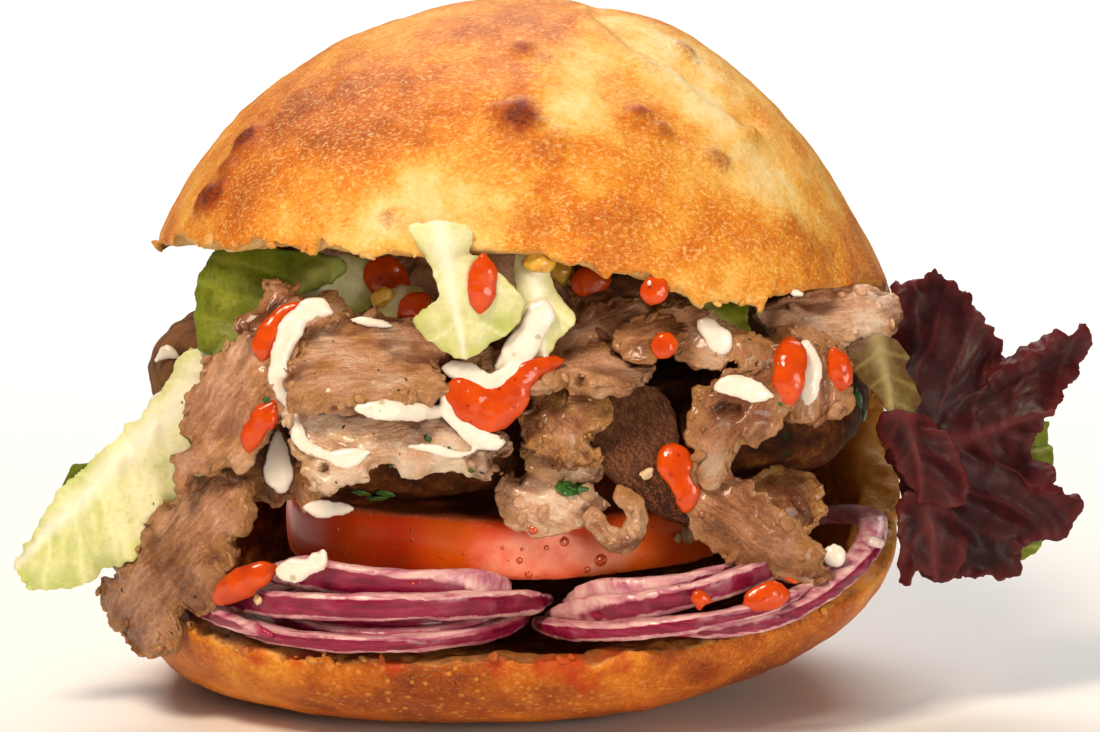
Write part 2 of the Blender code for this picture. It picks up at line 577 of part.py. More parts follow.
ICEBERG_LEFT = ("iceberg_leaf_left", "iceberg",
                [(-59, 61, 37), (-61.5, 54.6, 38), (-65, 46, 38.5), (-71, 37.6, 37.5), (-79, 30, 37),
                 (-87, 23.6, 36), (-94.6, 19.4, 35)],
                [3.4, 5.4, 7.4, 9.2, 9.0, 6.4, 2.4])
MEAT_CURL = ("doner_curl_front", "meat",
             [(11.4, 31.4, 59), (14.2, 28.6, 57.6), (16.6, 26, 56.4), (19.4, 26.4, 56), (20.6, 30, 56.4),
              (19.4, 33.4, 57), (16.8, 35, 57.4)], 2.3)
PATTIES = [
    ("meat_patty_left", (-19.5, -24, 50.5), (27, 27, 9.5), 3),
    ("meat_patty_right", (39.5, -15, 54.5), (24, 28, 11.2), 5),
    ("meat_patty_far_left", (-51, 15, 56.5), (20.5, 20, 12.4), 7),
]
HEAP_CENTRE, HEAP_HALF = (4, 5, 74), (42, 32, 29)


# ---------------------------------------------------------------- fitting the pieces together

def corners(obj):
    points = [v.co for v in obj.data.vertices]
    return (Vector([min(p[k] for p in points) for k in range(3)]),
            Vector([max(p[k] for p in points) for k in range(3)]))


def surface(obj):
    return BVHTree.FromPolygons([v.co for v in obj.data.vertices],
                                [tuple(f.vertices) for f in obj.data.polygons])


def meet(a, b):
    """True where the surfaces of two objects cross."""
    (la, ha), (lb, hb) = corners(a), corners(b)
    if any(la[k] > hb[k] or lb[k] > ha[k] for k in range(3)):
        return False
    return bool(surface(a).overlap(surface(b)))


def keep_largest(obj):
    """Leaves only the largest of the bodies that a cut made."""
    shape = bmesh.new()
    shape.from_mesh(obj.data)
    left = set(shape.verts)
    bodies = []
    while left:
        stack = [left.pop()]
        body = set(stack)
        while stack:
            for edge in stack.pop().link_edges:
                for v in edge.verts:
                    if v in left:
                        left.remove(v)
                        body.add(v)
                        stack.append(v)
        bodies.append(body)
    bodies.sort(key=lambda body: sum(f.calc_area() for f in {f for v in body for f in v.link_faces}))
    for body in bodies[:-1]:
        bmesh.ops.delete(shape, geom=list(body), context="VERTS")
    shape.to_mesh(obj.data)
    shape.free()


def carve(obj, others, cutters):
    """Cuts obj back where others, each grown by GAP, reach into it."""
    for other in others:
        grown = bpy.data.objects.new("grown", other.data.copy())
        cutters.objects.link(grown)
        swell = grown.modifiers.new("swell", "DISPLACE")
        swell.strength = GAP * MM
        swell.mid_level = 0
        apply_modifiers(grown)
        if meet(obj, grown):
            boolean(obj, grown, "DIFFERENCE")
            keep_largest(obj)
        bpy.data.objects.remove(grown)


def centre_on_base(objects):
    """Moves everything so that the origin is under the middle of the whole, at its lowest point."""
    boxes = [corners(o) for o in objects]
    low = Vector([min(b[0][k] for b in boxes) for k in range(3)])
    high = Vector([max(b[1][k] for b in boxes) for k in range(3)])
    shift = Matrix.Translation(-Vector(((low.x + high.x) / 2, (low.y + high.y) / 2, low.z)))
    for obj in objects:
        obj.data.transform(shift)


def main():
    clear_scene()
    group, cutters = collection(COLLECTION), collection(CUTTERS)
    pieces = [bread(group, cutters), tomato_slice(group)]
    pieces += [slab(name, finish, outline, out, group, **how)
               for name, finish, outline, out, how in (RED_LEAF, *LEAVES)]
    name, finish, spine, widths = ICEBERG_LEFT
    pieces.append(strip(name, finish, spine, widths, group, cup=2.4, thick=1.4, ruffle=(0.5, 2.1), across=3))
    pieces += [slab(name, "meat", outline, out, group, **how) for name, outline, out, how in MEAT_SLICES]
    pieces.append(curl(*MEAT_CURL[:3], MEAT_CURL[3], group))
    pieces += [onion_ring(row, group) for row in RINGS]
    name, outline, out, how = DARK_SLICE
    pieces.append(slab(name, "dark_meat", outline, out, group, **how))
    pieces += [lump(name, centre, half, "dark_meat", group, seed=seed)
               for name, centre, half, seed in PATTIES]
    pieces.append(lump("doner_heap", HEAP_CENTRE, HEAP_HALF, "meat", group, rough=0.12, seed=9,
                       segments=16, rings=9, below=0.16))
    for i, piece in enumerate(pieces):
        carve(piece, pieces[:i], cutters)
        piece.data.shade_flat()
    centre_on_base(pieces)


main()
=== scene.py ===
"""Doner kebab sandwich: how each piece of it looks, made over the CAD pieces' own shapes."""
import math

import bmesh
import bpy
import numpy as np
from mathutils import Matrix, Vector
from mathutils.bvhtree import BVHTree
from mathutils.kdtree import KDTree
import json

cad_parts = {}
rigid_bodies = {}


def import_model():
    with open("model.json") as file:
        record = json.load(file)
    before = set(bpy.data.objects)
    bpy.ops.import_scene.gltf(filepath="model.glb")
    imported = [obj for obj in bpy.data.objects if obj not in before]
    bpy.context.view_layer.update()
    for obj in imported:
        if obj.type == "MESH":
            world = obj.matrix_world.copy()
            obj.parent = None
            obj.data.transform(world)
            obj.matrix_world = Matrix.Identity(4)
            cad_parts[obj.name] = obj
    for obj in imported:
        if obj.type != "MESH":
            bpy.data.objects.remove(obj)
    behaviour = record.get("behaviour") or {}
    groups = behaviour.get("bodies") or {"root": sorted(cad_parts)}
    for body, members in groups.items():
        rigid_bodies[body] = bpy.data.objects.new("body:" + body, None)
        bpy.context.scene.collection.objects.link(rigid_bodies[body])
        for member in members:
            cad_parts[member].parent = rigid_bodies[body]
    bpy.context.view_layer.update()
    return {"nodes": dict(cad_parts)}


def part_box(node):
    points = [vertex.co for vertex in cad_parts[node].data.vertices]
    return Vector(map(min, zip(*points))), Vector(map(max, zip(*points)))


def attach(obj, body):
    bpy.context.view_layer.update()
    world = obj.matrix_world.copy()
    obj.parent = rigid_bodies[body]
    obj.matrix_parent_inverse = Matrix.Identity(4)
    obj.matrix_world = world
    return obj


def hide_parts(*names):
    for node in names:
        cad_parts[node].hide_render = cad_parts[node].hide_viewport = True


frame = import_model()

MM = 0.001
LEAN = math.radians(10)  # the sandwich is looked at from this far above level
FRONT = Vector((0, math.cos(LEAN), -math.sin(LEAN)))  # into the open front
SEEN = np.array(((1, 0, 0), (0, math.sin(LEAN), math.cos(LEAN))))  # across and up as seen from there
BEFORE = 60  # a line into the food starts so many mm before the spot that it aims at
COARSER = 1.0
STEP = 0.6  # a sauce's stroke is followed in steps of so many mm


# ---------------------------------------------------------------- colours and shader nodes

def colour(code):
    """An sRGB hex colour as linear red, green, blue and 1."""
    parts = [int(code[i:i + 2], 16) / 255 for i in (1, 3, 5)]
    return (*[c / 12.92 if c <= 0.04045 else ((c + 0.055) / 1.055) ** 2.4 for c in parts], 1.0)


def per(mm):
    """The texture scale that repeats about every so many millimetres."""
    return 1 / (mm * MM)


class Finish:
    """A material built up node by node round one Principled shader. Shine is its specular level, coat the
    weight and roughness of its clear coat, and glow the weight, depth and reach by colour of the light that
    goes under its surface."""

    def __init__(self, name, shine=0.5, coat=None, glow=None):
        self.material = bpy.data.materials.new(name)
        self.material.use_nodes = True
        self.tree = self.material.node_tree
        self.shader = self.tree.nodes["Principled BSDF"]
        self.set(Specular_IOR_Level=shine)
        if coat:
            self.set(Coat_Weight=coat[0], Coat_Roughness=coat[1])
        if glow:
            self.set(Subsurface_Weight=glow[0], Subsurface_Scale=glow[1], Subsurface_Radius=glow[2])

    def set(self, **sockets):
        """Sets or links the shader's own sockets; underscores in their names stand for spaces."""
        for key, value in sockets.items():
            self.join(value, self.shader.inputs[key.replace("_", " ")])

    def join(self, value, socket):
        """Links an output to a socket, or sets the socket to a value or to a hex colour."""
        if isinstance(value, bpy.types.NodeSocket):
            self.tree.links.new(value, socket)
        else:
            socket.default_value = colour(value) if isinstance(value, str) else value

    def add(self, kind, sockets=None, out=0, stops=(), **settings):
        """Adds a shader node with its settings, socket values or links, and gives one of its outputs."""
        node = self.tree.nodes.new("ShaderNode" + kind)
        for key, value in settings.items():
            setattr(node, key, value)
        for key, value in (sockets or {}).items():
            self.join(value, node.inputs[key])
        for i, (at, code) in enumerate(stops):
            elements = node.color_ramp.elements
            stop = elements[i] if i < 2 else elements.new(at)
            stop.position = at
            stop.color = colour(code)
        return node.outputs[out]

    def where(self):
        """The place on the piece, in metres."""
        return self.add("TexCoord", out="Object")

    def values(self, *names):
        """What paint kept for each point under those names."""
        return [self.add("Attribute", attribute_name=name, out="Fac") for name in names]

    def value(self, name):
        return self.values(name)[0]

    def vector(self, name):
        return self.add("Attribute", attribute_name=name, out="Vector")

    def stretch(self, vector, scale, turn=(0, 0, 0)):
        return self.add("Mapping", {"Vector": vector, "Scale": scale, "Rotation": turn})

    def noise(self, vector, mm, detail, rough=0.5, out=0, **more):
        """Cloudy noise whose widest patches are some mm across."""
        sockets = {"Vector": vector, "Scale": per(mm), "Detail": detail, "Roughness": rough}
        return self.add("TexNoise", sockets | more, out)

    def cells(self, vector, mm):
        """The distance to the nearest of scattered spots some mm apart."""
        return self.add("TexVoronoi", {"Vector": vector, "Scale": per(mm)})

    def span(self, value, low, high, top=1.0, bottom=0.0):
        """Bottom where the value is low, top where it is high."""
        return self.add("MapRange", {"Value": value, "From Min": low, "From Max": high, "To Min": bottom,
                                     "To Max": top})

    def between(self, value, bottom, top):
        return self.span(value, 0, 1, top, bottom)

    def plus(self, base, *parts):
        """The base and a share of each value, given as share, value, share, value and so on."""
        for share, value in zip(parts[::2], parts[1::2]):
            base = self.add("Math", {0: value, 1: share, 2: base}, operation="MULTIPLY_ADD")
        return base

    def less(self, value, amount):
        return self.add("Math", {0: value, 1: amount}, operation="SUBTRACT")

    def times(self, first, second):
        return self.add("Math", {0: first, 1: second}, operation="MULTIPLY")

    def mix(self, share, under, over):
        """A share of the second colour over the first."""
        return self.add("MixRGB", {"Fac": share, "Color1": under, "Color2": over})

    def ramp(self, value, *stops):
        """The colours that the value passes through."""
        return self.add("ValToRGB", {"Fac": value}, stops=stops)

    def bump(self, height, strength, deep_mm):
        return self.add("Bump", {"Height": height, "Strength": strength, "Distance": deep_mm * MM})

    def done(self, tint, bump, rough):
        """Gives the shader its colour, relief and roughness, and hands over the material."""
        self.set(Base_Color=tint, Normal=bump, Roughness=rough)
        return self.material


# ---------------------------------------------------------------- bumps worked out on points

CORNERS = [np.array((i & 1, i >> 1 & 1, i >> 2 & 1)) for i in range(8)]
AROUND = [np.array((i % 3 - 1, i // 3 % 3 - 1, i // 9 - 1)) for i in range(27)]


def chance(cells, seed):
    """A repeatable value from 0 to 1 for each whole-number cell."""
    n = cells[:, 0] * 73856093 ^ cells[:, 1] * 19349663 ^ cells[:, 2] * 83492791 ^ seed * 668265263
    n = (n ^ (n >> 13)) * 1274126177
    n = n ^ (n >> 16)
    return (n & 0xFFFFF) / 0xFFFFF


def lumps(points, size, octaves=3, seed=0):
    """Smooth random hills from about -1 to 1, the widest of them size mm across."""
    total, weight, reach = np.zeros(len(points)), 1.0, 0.0
    for k in range(octaves):
        q = points / size * 2 ** k + 13.7 * (seed + 1)
        cell = np.floor(q).astype(np.int64)
        f = q - cell
        f = f * f * (3 - 2 * f)
        value = np.zeros(len(points))
        for corner in CORNERS:
            value += np.prod(np.where(corner == 1, f, 1 - f), axis=1) * chance(cell + corner, seed + k)
        total += weight * (2 * value - 1)
        reach += weight
        weight *= 0.5
    return total / reach * 1.5


def grains(points, size, seed=0):
    """Distance to the nearest of many scattered grains about size mm apart, as a share of that."""
    q = points / size
    cell = np.floor(q).astype(np.int64)
    best = np.full(len(points), 9.0)
    for step in AROUND:
        near = cell + step
        spot = near + np.stack([chance(near, seed + k) for k in (0, 11, 23)], axis=1)
        best = np.minimum(best, np.linalg.norm(q - spot, axis=1))
    return best


def ease(low, high, value):
    """0 below low, 1 above high, and smooth between."""
    t = np.clip((value - low) / (high - low), 0, 1)
    return t * t * (3 - 2 * t)


# ---------------------------------------------------------------- pieces

def points_of(obj):
    """The piece's points in mm."""
    flat = np.empty(len(obj.data.vertices) * 3, np.float32)
    obj.data.vertices.foreach_get("co", flat)
    return flat.reshape(-1, 3).astype(float) / MM


def move_points(obj, points):
    obj.data.vertices.foreach_set("co", (points * MM).astype(np.float32).ravel())
    obj.data.update()


def normals_of(obj):
    flat = np.empty(len(obj.data.vertices) * 3, np.float32)
    obj.data.vertex_normals.foreach_get("vector", flat)
    return flat.reshape(-1, 3).astype(float)


def paint(obj, **kept):
    """Keeps values or vectors for each point under their names, which the finish reads."""
    for name, values in kept.items():
        values = np.asarray(values, np.float32)
        if values.ndim == 1:
            obj.data.attributes.new(name, "FLOAT", "POINT").data.foreach_set("value", values)
        else:
            obj.data.attributes.new(name, "FLOAT_VECTOR", "POINT").data.foreach_set("vector", values.ravel())


def evaluated(obj):
    """The piece's mesh with its modifiers worked in."""
    depsgraph = bpy.context.evaluated_depsgraph_get()
    made = bpy.data.meshes.new_from_object(obj.evaluated_get(depsgraph))
    obj.modifiers.clear()
    obj.data = made
    return obj


def mesh_piece(name, points, faces):
    """A new piece from points in mm."""
    mesh = bpy.data.meshes.new(name)
    mesh.from_pydata([tuple(p) for p in np.asarray(points) * MM], [], [tuple(f) for f in faces])
    mesh.update()
    obj = bpy.data.objects.new(name, mesh)
    bpy.context.collection.objects.link(obj)
    return obj


def even_out(obj, grain, rounds):
    """Rebuilds the piece on an even mesh with sides of grain mm, and smooths it so many rounds."""
    remesh = obj.modifiers.new("even", "REMESH")
    remesh.mode = "VOXEL"
    remesh.voxel_size = grain * COARSER * MM
    if rounds:
        smooth = obj.modifiers.new("soft", "SMOOTH")
        smooth.factor = 0.5
        smooth.iterations = rounds
    return evaluated(obj)


def fine_copy(node, suffix, grain, rounds=3, crease=0.3, corner=0.0, levels=2):
    """A new piece on a CAD node's own shape, rounded and finely meshed. Crease and corner, 0 to 1, keep its
    sharp edges and the corners of its outline."""
    bm = bmesh.new()
    bm.from_mesh(frame["nodes"][node].data)
    bmesh.ops.remove_doubles(bm, verts=bm.verts, dist=1e-6)
    bmesh.ops.join_triangles(bm, faces=bm.faces, angle_face_threshold=0.7, angle_shape_threshold=0.9)
    sharp = bm.edges.layers.float.get("crease_edge") or bm.edges.layers.float.new("crease_edge")
    point = bm.verts.layers.float.get("crease_vert") or bm.verts.layers.float.new("crease_vert")
    for edge in bm.edges:
        if edge.calc_face_angle(0) > 0.9:
            edge[sharp] = crease
            for vert in edge.verts:
                vert[point] = corner
    mesh = bpy.data.meshes.new(node)
    bm.to_mesh(mesh)
    bm.free()
    obj = bpy.data.objects.new(f"{node}.{suffix}", mesh)
    bpy.context.collection.objects.link(obj)
    round_off = obj.modifiers.new("round", "SUBSURF")
    round_off.levels = round_off.render_levels = levels
    return even_out(obj, grain, rounds)


def place(obj, finish, slot=None, nodes=()):
    """Gives the piece its finish and makes it ride on the sandwich, in the place of those CAD nodes."""
    obj.data.materials.clear()
    obj.data.materials.append(finish)
    obj.data.shade_smooth()
    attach(obj, "root")
    if nodes:
        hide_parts(*nodes)
    return obj


def along_grain(points):
    """The points measured along the piece's long, short and flat directions; its middle, and the flat one."""
    middle = points.mean(axis=0)
    spread = np.linalg.eigh(np.cov((points - middle).T))[1]
    long, short, flat = spread[:, 2], spread[:, 1], spread[:, 0]
    flat = flat if flat[1] < 0 else -flat
    d = points - middle
    return np.stack([d @ long, d @ short, d @ flat], axis=1), middle, flat


def nearest_of(points, spots):
    """For each point, its distance in mm from the nearest of the spots, and that spot's number."""
    tree = KDTree(len(spots))
    for i, p in enumerate(spots):
        tree.insert(Vector(p), i)
    tree.balance()
    found = [tree.find(Vector(p)) for p in points]
    return np.array([f[2] for f in found]), np.array([f[1] for f in found])


def from_rim(points, normals, flat):
    """For each point of a thin piece: distance in mm from its rim, the nearest rim point, and the way out."""
    on_rim = np.abs(normals @ flat) < 0.5
    away, nearest = nearest_of(points, points[on_rim])
    out = normals[on_rim][nearest]
    out = out - np.outer(out @ flat, flat)
    out /= np.linalg.norm(out, axis=1)[:, None] + 1e-6
    return away, points[on_rim][nearest], out


def at(node, across, up):
    """The point of a CAD node's box that far across and up its front side, in mm."""
    low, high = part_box(node)
    return Vector((low.x + (high.x - low.x) * across, low.y, low.z + (high.z - low.z) * up)) / MM


# ---------------------------------------------------------------- bread

# Scorched blisters and brown marks on the crust: across and up the bread's box, radius mm, rise mm, scorch.
BLISTERS = [
    (0.505, 0.895, 5.6, 1.5, 1.0), (0.54, 0.86, 5.0, 0.5, 0.5), (0.51, 1.0, 3.4, 0.9, 0.8),
    (0.535, 0.985, 3.0, 0.5, 0.5), (0.16, 0.865, 5.2, 0.9, 1.0), (0.14, 0.83, 4.6, 0.8, 0.8),
    (0.115, 0.79, 5.6, 0.9, 1.0), (0.655, 0.905, 3.4, 1.0, 0.75), (0.685, 0.88, 3.0, 0.9, 0.7),
    (0.755, 0.84, 3.2, 0.7, 0.65), (0.63, 0.75, 7.0, 0.3, 0.42), (0.61, 0.71, 6.0, 0.3, 0.35),
    (0.52, 0.75, 5.0, 0.3, 0.4), (0.53, 0.79, 3.5, 0.3, 0.35), (0.345, 0.755, 2.6, 0.3, 0.55),
    (0.72, 1.0, 3.6, 0.7, 0.6), (0.66, 0.97, 3.0, 0.4, 0.3), (0.85, 0.745, 6.0, 0.3, 0.42),
    (0.88, 0.71, 7.0, 0.3, 0.5), (0.93, 0.77, 4.0, 0.3, 0.4), (0.73, 0.11, 7.0, 0.7, 0.85),
    (0.69, 0.14, 5.0, 0.6, 0.7), (0.81, 0.16, 5.0, 0.4, 0.4), (0.91, 0.20, 6.0, 0.5, 0.6),
    (0.10, 0.13, 8.0, 0.3, 0.5), (0.42, 0.07, 7.0, 0.3, 0.4), (0.66, 0.06, 6.0, 0.5, 0.6),
]
# Wide patches that browned more (or, below 0, less) than the rest: across, up, radius mm, how much more.
# The pale ones at the top right are a painted highlight, where the crust catches the light.
BAKED = [
    (0.23, 0.93, 17, 0.07), (0.33, 0.90, 15, 0.07), (0.29, 0.83, 12, 0.05), (0.15, 0.76, 12, 0.08),
    (0.42, 0.75, 14, -0.27), (0.31, 0.72, 9, -0.15), (0.66, 1.02, 15, -0.42), (0.73, 0.94, 11, -0.34),
    (0.58, 0.90, 9, -0.24), (0.60, 0.80, 6, -0.12), (0.81, 0.83, 14, -0.22), (0.56, 0.97, 8, -0.2),
    (0.44, 0.97, 9, -0.1), (0.90, 0.80, 9, -0.12),
]
# Where chilli oil and tomato juice soaked into the lower lip: across, up, radius mm.
STAINS = [
    (0.56, 0.13, 8), (0.62, 0.12, 6), (0.48, 0.12, 5), (0.17, 0.14, 5), (0.23, 0.14, 4), (0.35, 0.13, 4),
]
# The fold that runs down the crust's right shoulder: across, up.
FOLD = [(0.60, 1.05), (0.65, 1.0), (0.71, 0.965), (0.745, 0.93), (0.79, 0.895)]


def crust_point(tree, across, up):
    """Where a line into the open front through that part of the bread's box meets the crust, in mm."""
    return tree.ray_cast(at("pocket_bread", across, up) - FRONT * BEFORE, FRONT)[0]


def round_spots(points, tree, table):
    """For each row of a table of spots on the crust: the row's first value, how far each point is from the
    spot, in radii, and what else the row says."""
    for across, up, radius, *rest in table:
        spot = crust_point(tree, across, up)
        if spot is not None:
            yield across, np.linalg.norm(points - np.array(spot), axis=1) / radius, rest


def fold_rise(points, fold):
    """How far a fold lifts the crust on its near side and sinks it on its far side, in mm."""
    seen = points @ SEEN.T
    marks = [SEEN @ p for p in fold]
    best, side = np.full(len(points), 99.0), np.zeros(len(points))
    for a, b in zip(marks, marks[1:]):
        run = b - a
        share = np.clip((seen - a) @ run / (run @ run), 0, 1)
        off = seen - a - share[:, None] * run
        gap = np.linalg.norm(off, axis=1)
        closer = gap < best
        best = np.where(closer, gap, best)
        side = np.where(closer, np.sign(off @ np.array((-run[1], run[0]))), side)
    above = best * side
    return 1.3 * np.exp(-((above + 2.0) / 2.4) ** 2) - 1.6 * np.exp(-((above - 1.4) / 1.9) ** 2)


def tree_of(obj):
    """A tree for casting lines at the piece, in mm."""
    points = [tuple(p) for p in points_of(obj)]
    return BVHTree.FromPolygons(points, [tuple(face.vertices) for face in obj.data.polygons])


def baked_marks(points, tree):
    """For each point of the crust: how far a blister lifts it in mm, how scorched it is, how much more or
    less a wide patch browned it or, at the top right, lightened it as a painted highlight, and how far oil
    soaked into it."""
    rise, scorched, toast, stain = np.zeros((4, len(points)))
    for across, gap, (height, scorch) in round_spots(points, tree, BLISTERS):
        gap += 0.34 * lumps(points, 4.5, 3, int(across * 100))
        dome = (1 - ease(0.35, 1.0, gap)) * (1 + 0.5 * lumps(points, 2.4, 2, 15))
        rise = np.maximum(rise, height * dome)
        scorched = np.maximum(scorched, scorch * (1 - ease(0.1, 1.35, gap)))
    uneven = 0.3 * lumps(points, 9.0, 3, 5)
    for _, gap, (more,) in round_spots(points, tree, BAKED):
        toast += more * (1 - ease(0.1, 1.25, gap + uneven))
    for _, gap, _ in round_spots(points, tree, STAINS):
        stain = np.maximum(stain, 1 - ease(0.2, 1.2, gap + 0.5 * lumps(points, 5.0, 3, 16)))
    return rise, scorched, toast, stain


def torn_lip(points, on_lip, upper):
    """How near each point is to the lip where crust turns to crumb, 0 to 1, and how far the lip's teeth move
    it up, in mm."""
    away, nearest = nearest_of(points, points[on_lip])
    spot = points[on_lip][nearest] * (1, 1, 0.2)
    lip = 1 - ease(0.0, 4.0, away)
    teeth = 1.4 * lumps(spot, 9.0, 2, 12) + 2.8 * lumps(spot, 3.0, 3, 13)
    return lip, np.where(upper, -1.0, 0.6) * lip * teeth


def shape_bread():
    """The bread's crust with its blisters and wrinkles, and its torn, porous crumb."""
    obj = fine_copy("pocket_bread", "baked", 1.1, rounds=4, crease=0.85, corner=0.5)
    points, normals = points_of(obj), normals_of(obj)
    low, high = (np.array(v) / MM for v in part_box("pocket_bread"))
    middle, half = (low + high) / 2, (high - low) / 2
    middle[2] = low[2] + 0.42 * (high[2] - low[2])
    outward = (points - middle) / half ** 2
    outward /= np.linalg.norm(outward, axis=1)[:, None]
    facing = np.sum(outward * normals, axis=1)
    crumb = 1 - ease(0.0, 0.34, facing + 0.12 * lumps(points, 3.2, 2, 3))
    tree = tree_of(obj)
    rise, scorched, toast, stain = baked_marks(points, tree)
    fold = [np.array(crust_point(tree, *spot) or at("pocket_bread", *spot)) for spot in FOLD]
    rise += fold_rise(points, fold)
    share = (points - low) / (high - low)
    toast += 0.46 + 0.2 * lumps(points, 22.0, 3, 1) + 0.14 * lumps(points, 6.0, 3, 2)
    toast += 0.26 * (1 - ease(0.05, 0.24, share[:, 2]))
    rise += (1 - crumb) * (0.55 * lumps(points, 16.0, 3, 4) + 0.16 * lumps(points, 3.4, 2, 6))
    holes, small = grains(points, 3.4, 8), grains(points, 1.7, 9)
    rise += crumb * (0.75 * ease(0.1, 0.75, holes) - 0.5 + 0.35 * ease(0.1, 0.7, small) - 0.2)
    on_lip = (crumb > 0.3) & (crumb < 0.7) & (share[:, 1] < 0.8) & (points[:, 2] > low[2] + 12)
    lip, raised = torn_lip(points, on_lip, share[:, 2] > 0.45)
    rise += lip * (0.5 * lumps(points, 2.2, 3, 14) - 0.25)
    moved = points + normals * rise[:, None]
    moved[:, 2] += raised
    move_points(obj, moved)
    # Painted shade, partly meat juice: the crumb darkens low down and further back inside the pocket.
    soaked = crumb * (1 - ease(0.16, 0.34, share[:, 2])) * 0.8
    soaked += crumb * ease(0.3, 0.5, share[:, 1]) * 0.9
    # Painted light: the crumb of the inner right wall is painted golden where it catches the light.
    paint(obj, toast=np.clip(toast, 0, 1), scorch=scorched, crumb=crumb, soaked=np.clip(soaked, 0, 1),
          stain=stain, golden=crumb * ease(0.82, 0.93, share[:, 0]), base=1 - ease(0.10, 0.28, share[:, 2]))
    return obj


def crust_tint(finish, where, freckle, mixed, fleck, marks):
    """The crust's brown, netted with pale stretch marks and beads, and scorched where it blistered."""
    base, toast, scorch = finish.values("base", "toast", "scorch")
    crust = finish.ramp(mixed, (0.0, "#f4dba0"), (0.2, "#efbf63"), (0.38, "#e59a2e"), (0.54, "#d67a1a"),
                        (0.70, "#b96012"), (0.86, "#93420c"), (1.0, "#732c08"))
    crust = finish.mix(marks, crust, "#f6cf8a")
    stipple = finish.times(finish.span(fleck, 0.47, 0.31, 0.95), toast)
    crust = finish.mix(stipple, crust, "#b9580f")
    beads = finish.times(finish.span(finish.cells(where, 1.9), 0.3, 0.18), toast)
    beads = finish.times(beads, finish.between(base, 0.3, 0.8))
    crust = finish.mix(beads, crust, "#dc9c40")
    burn = finish.span(finish.plus(scorch, 1.3, freckle), 0.8, 1.55, 0.95)
    crust = finish.mix(burn, crust, "#a04412")
    core = finish.span(finish.plus(scorch, 1.1, fleck), 1.25, 1.65, 0.95)
    return finish.mix(core, crust, "#5e1d04")


def crumb_tint(finish, where):
    """The soft pale crumb, darkened brown inside by meat juice and painted shade, and painted lighter gold at
    its right end, a painted highlight where the inner wall catches the light.
    """
    inside = finish.noise(where, 3.0, 5.0, 0.65)
    soft = finish.ramp(inside, (0.25, "#bd7a32"), (0.45, "#d9a55c"), (0.6, "#e7c485"), (0.8, "#efd9a6"))
    # Painted shade and meat juice: the dark brown of the crumb deep inside the pocket.
    juice = finish.ramp(inside, (0.3, "#3f1803"), (0.5, "#7c3a0a"), (0.75, "#c0701e"))
    soft = finish.mix(finish.value("soaked"), soft, juice)
    return finish.mix(finish.value("golden"), soft, "#eea03c")


def baked_bread_finish():
    """Wheat pocket bread baked hot on stone: a leathery gold crust netted with fine pale stretch marks and
    scorched where it blistered, over a soft pale crumb, darkened brown inside by meat juice and painted
    shade."""
    finish = Finish("stone_baked_wheat_bread", shine=0.2, coat=(0.03, 0.3),
                    glow=(0.08, 0.0012, (1.0, 0.45, 0.18)))
    where = finish.where()
    base, stain, toast, crumb = finish.values("base", "stain", "toast", "crumb")
    mottle = finish.noise(where, 5.0, 7.0, 0.65)
    freckle = finish.noise(where, 1.0, 4.0, 0.75)
    pulled = finish.noise(where, 3.0, 2.0, out="Color")
    pulled = finish.add("MixRGB", {"Fac": 0.0022, "Color1": where, "Color2": pulled}, blend_type="ADD")
    pulled = finish.stretch(pulled, (0.6, 1.0, 1.0), (0.3, 0.6, 0.2))
    mixed = finish.less(finish.plus(toast, 0.55, mottle, 0.4, freckle), 0.475)
    fleck = finish.noise(pulled, 0.52, 3.0, 0.55, Distortion=0.4)
    marks = finish.times(finish.span(fleck, 0.52, 0.70, 0.72), finish.between(base, 1.0, 0.25))
    crust = crust_tint(finish, where, freckle, mixed, fleck, marks)
    oiled = finish.span(finish.times(stain, mottle), 0.2, 0.55, 0.85)
    tint = finish.mix(oiled, finish.mix(crumb, crust, crumb_tint(finish, where)), "#b83a08")
    wrinkle = finish.noise(pulled, 1.2, 5.0, 0.65)
    relief = finish.plus(wrinkle, -0.5, finish.cells(where, 1.9), 0.3, marks)
    return finish.done(tint, finish.bump(relief, 0.6, 0.5), finish.between(mottle, 0.38, 0.62))


# ---------------------------------------------------------------- meat

# How each doner piece is cooked: tone from pale pink 0 to well browned 1, partly painted shade for slices
# deep in the shade under the bread such as the right one, how crisp its rim is, and how ragged, in mm.
DONER = {
    "doner_slice_front_top": (0.30, 0.60, 0.9),
    "doner_slice_front_low": (0.12, 0.35, 0.9),
    "doner_slice_left": (0.42, 0.35, 0.9),
    "doner_slice_low_left": (0.60, 0.45, 1.2),
    "doner_slice_back_left": (0.50, 0.35, 1.1),
    "doner_slice_centre": (0.44, 0.50, 1.0),
    "doner_slice_centre_right": (0.52, 0.45, 0.9),
    "doner_slice_centre_back": (0.45, 0.40, 0.8),
    "doner_slice_upper_right": (0.80, 0.40, 0.8),
    "doner_slice_fold": (0.52, 0.40, 0.8),
    "doner_slice_right": (0.64, 0.45, 0.7),
    "doner_slice_right_top": (0.54, 0.40, 0.7),
    "doner_slice_far_right": (0.24, 0.10, 0.2),
    "doner_slice_low_right": (0.60, 0.35, 0.6),
    "doner_slice_inner_left": (0.85, 0.40, 0.9),
    "doner_chunk_browned": (0.60, 0.95, 1.2),
    "doner_chunk_pale": (0.24, 0.60, 0.8),
    "doner_chunk_low": (0.30, 0.30, 0.6),
    "doner_chunk_crisp": (0.76, 0.95, 0.8),
    "doner_curl_front": (0.36, 0.35, 0.15),
}
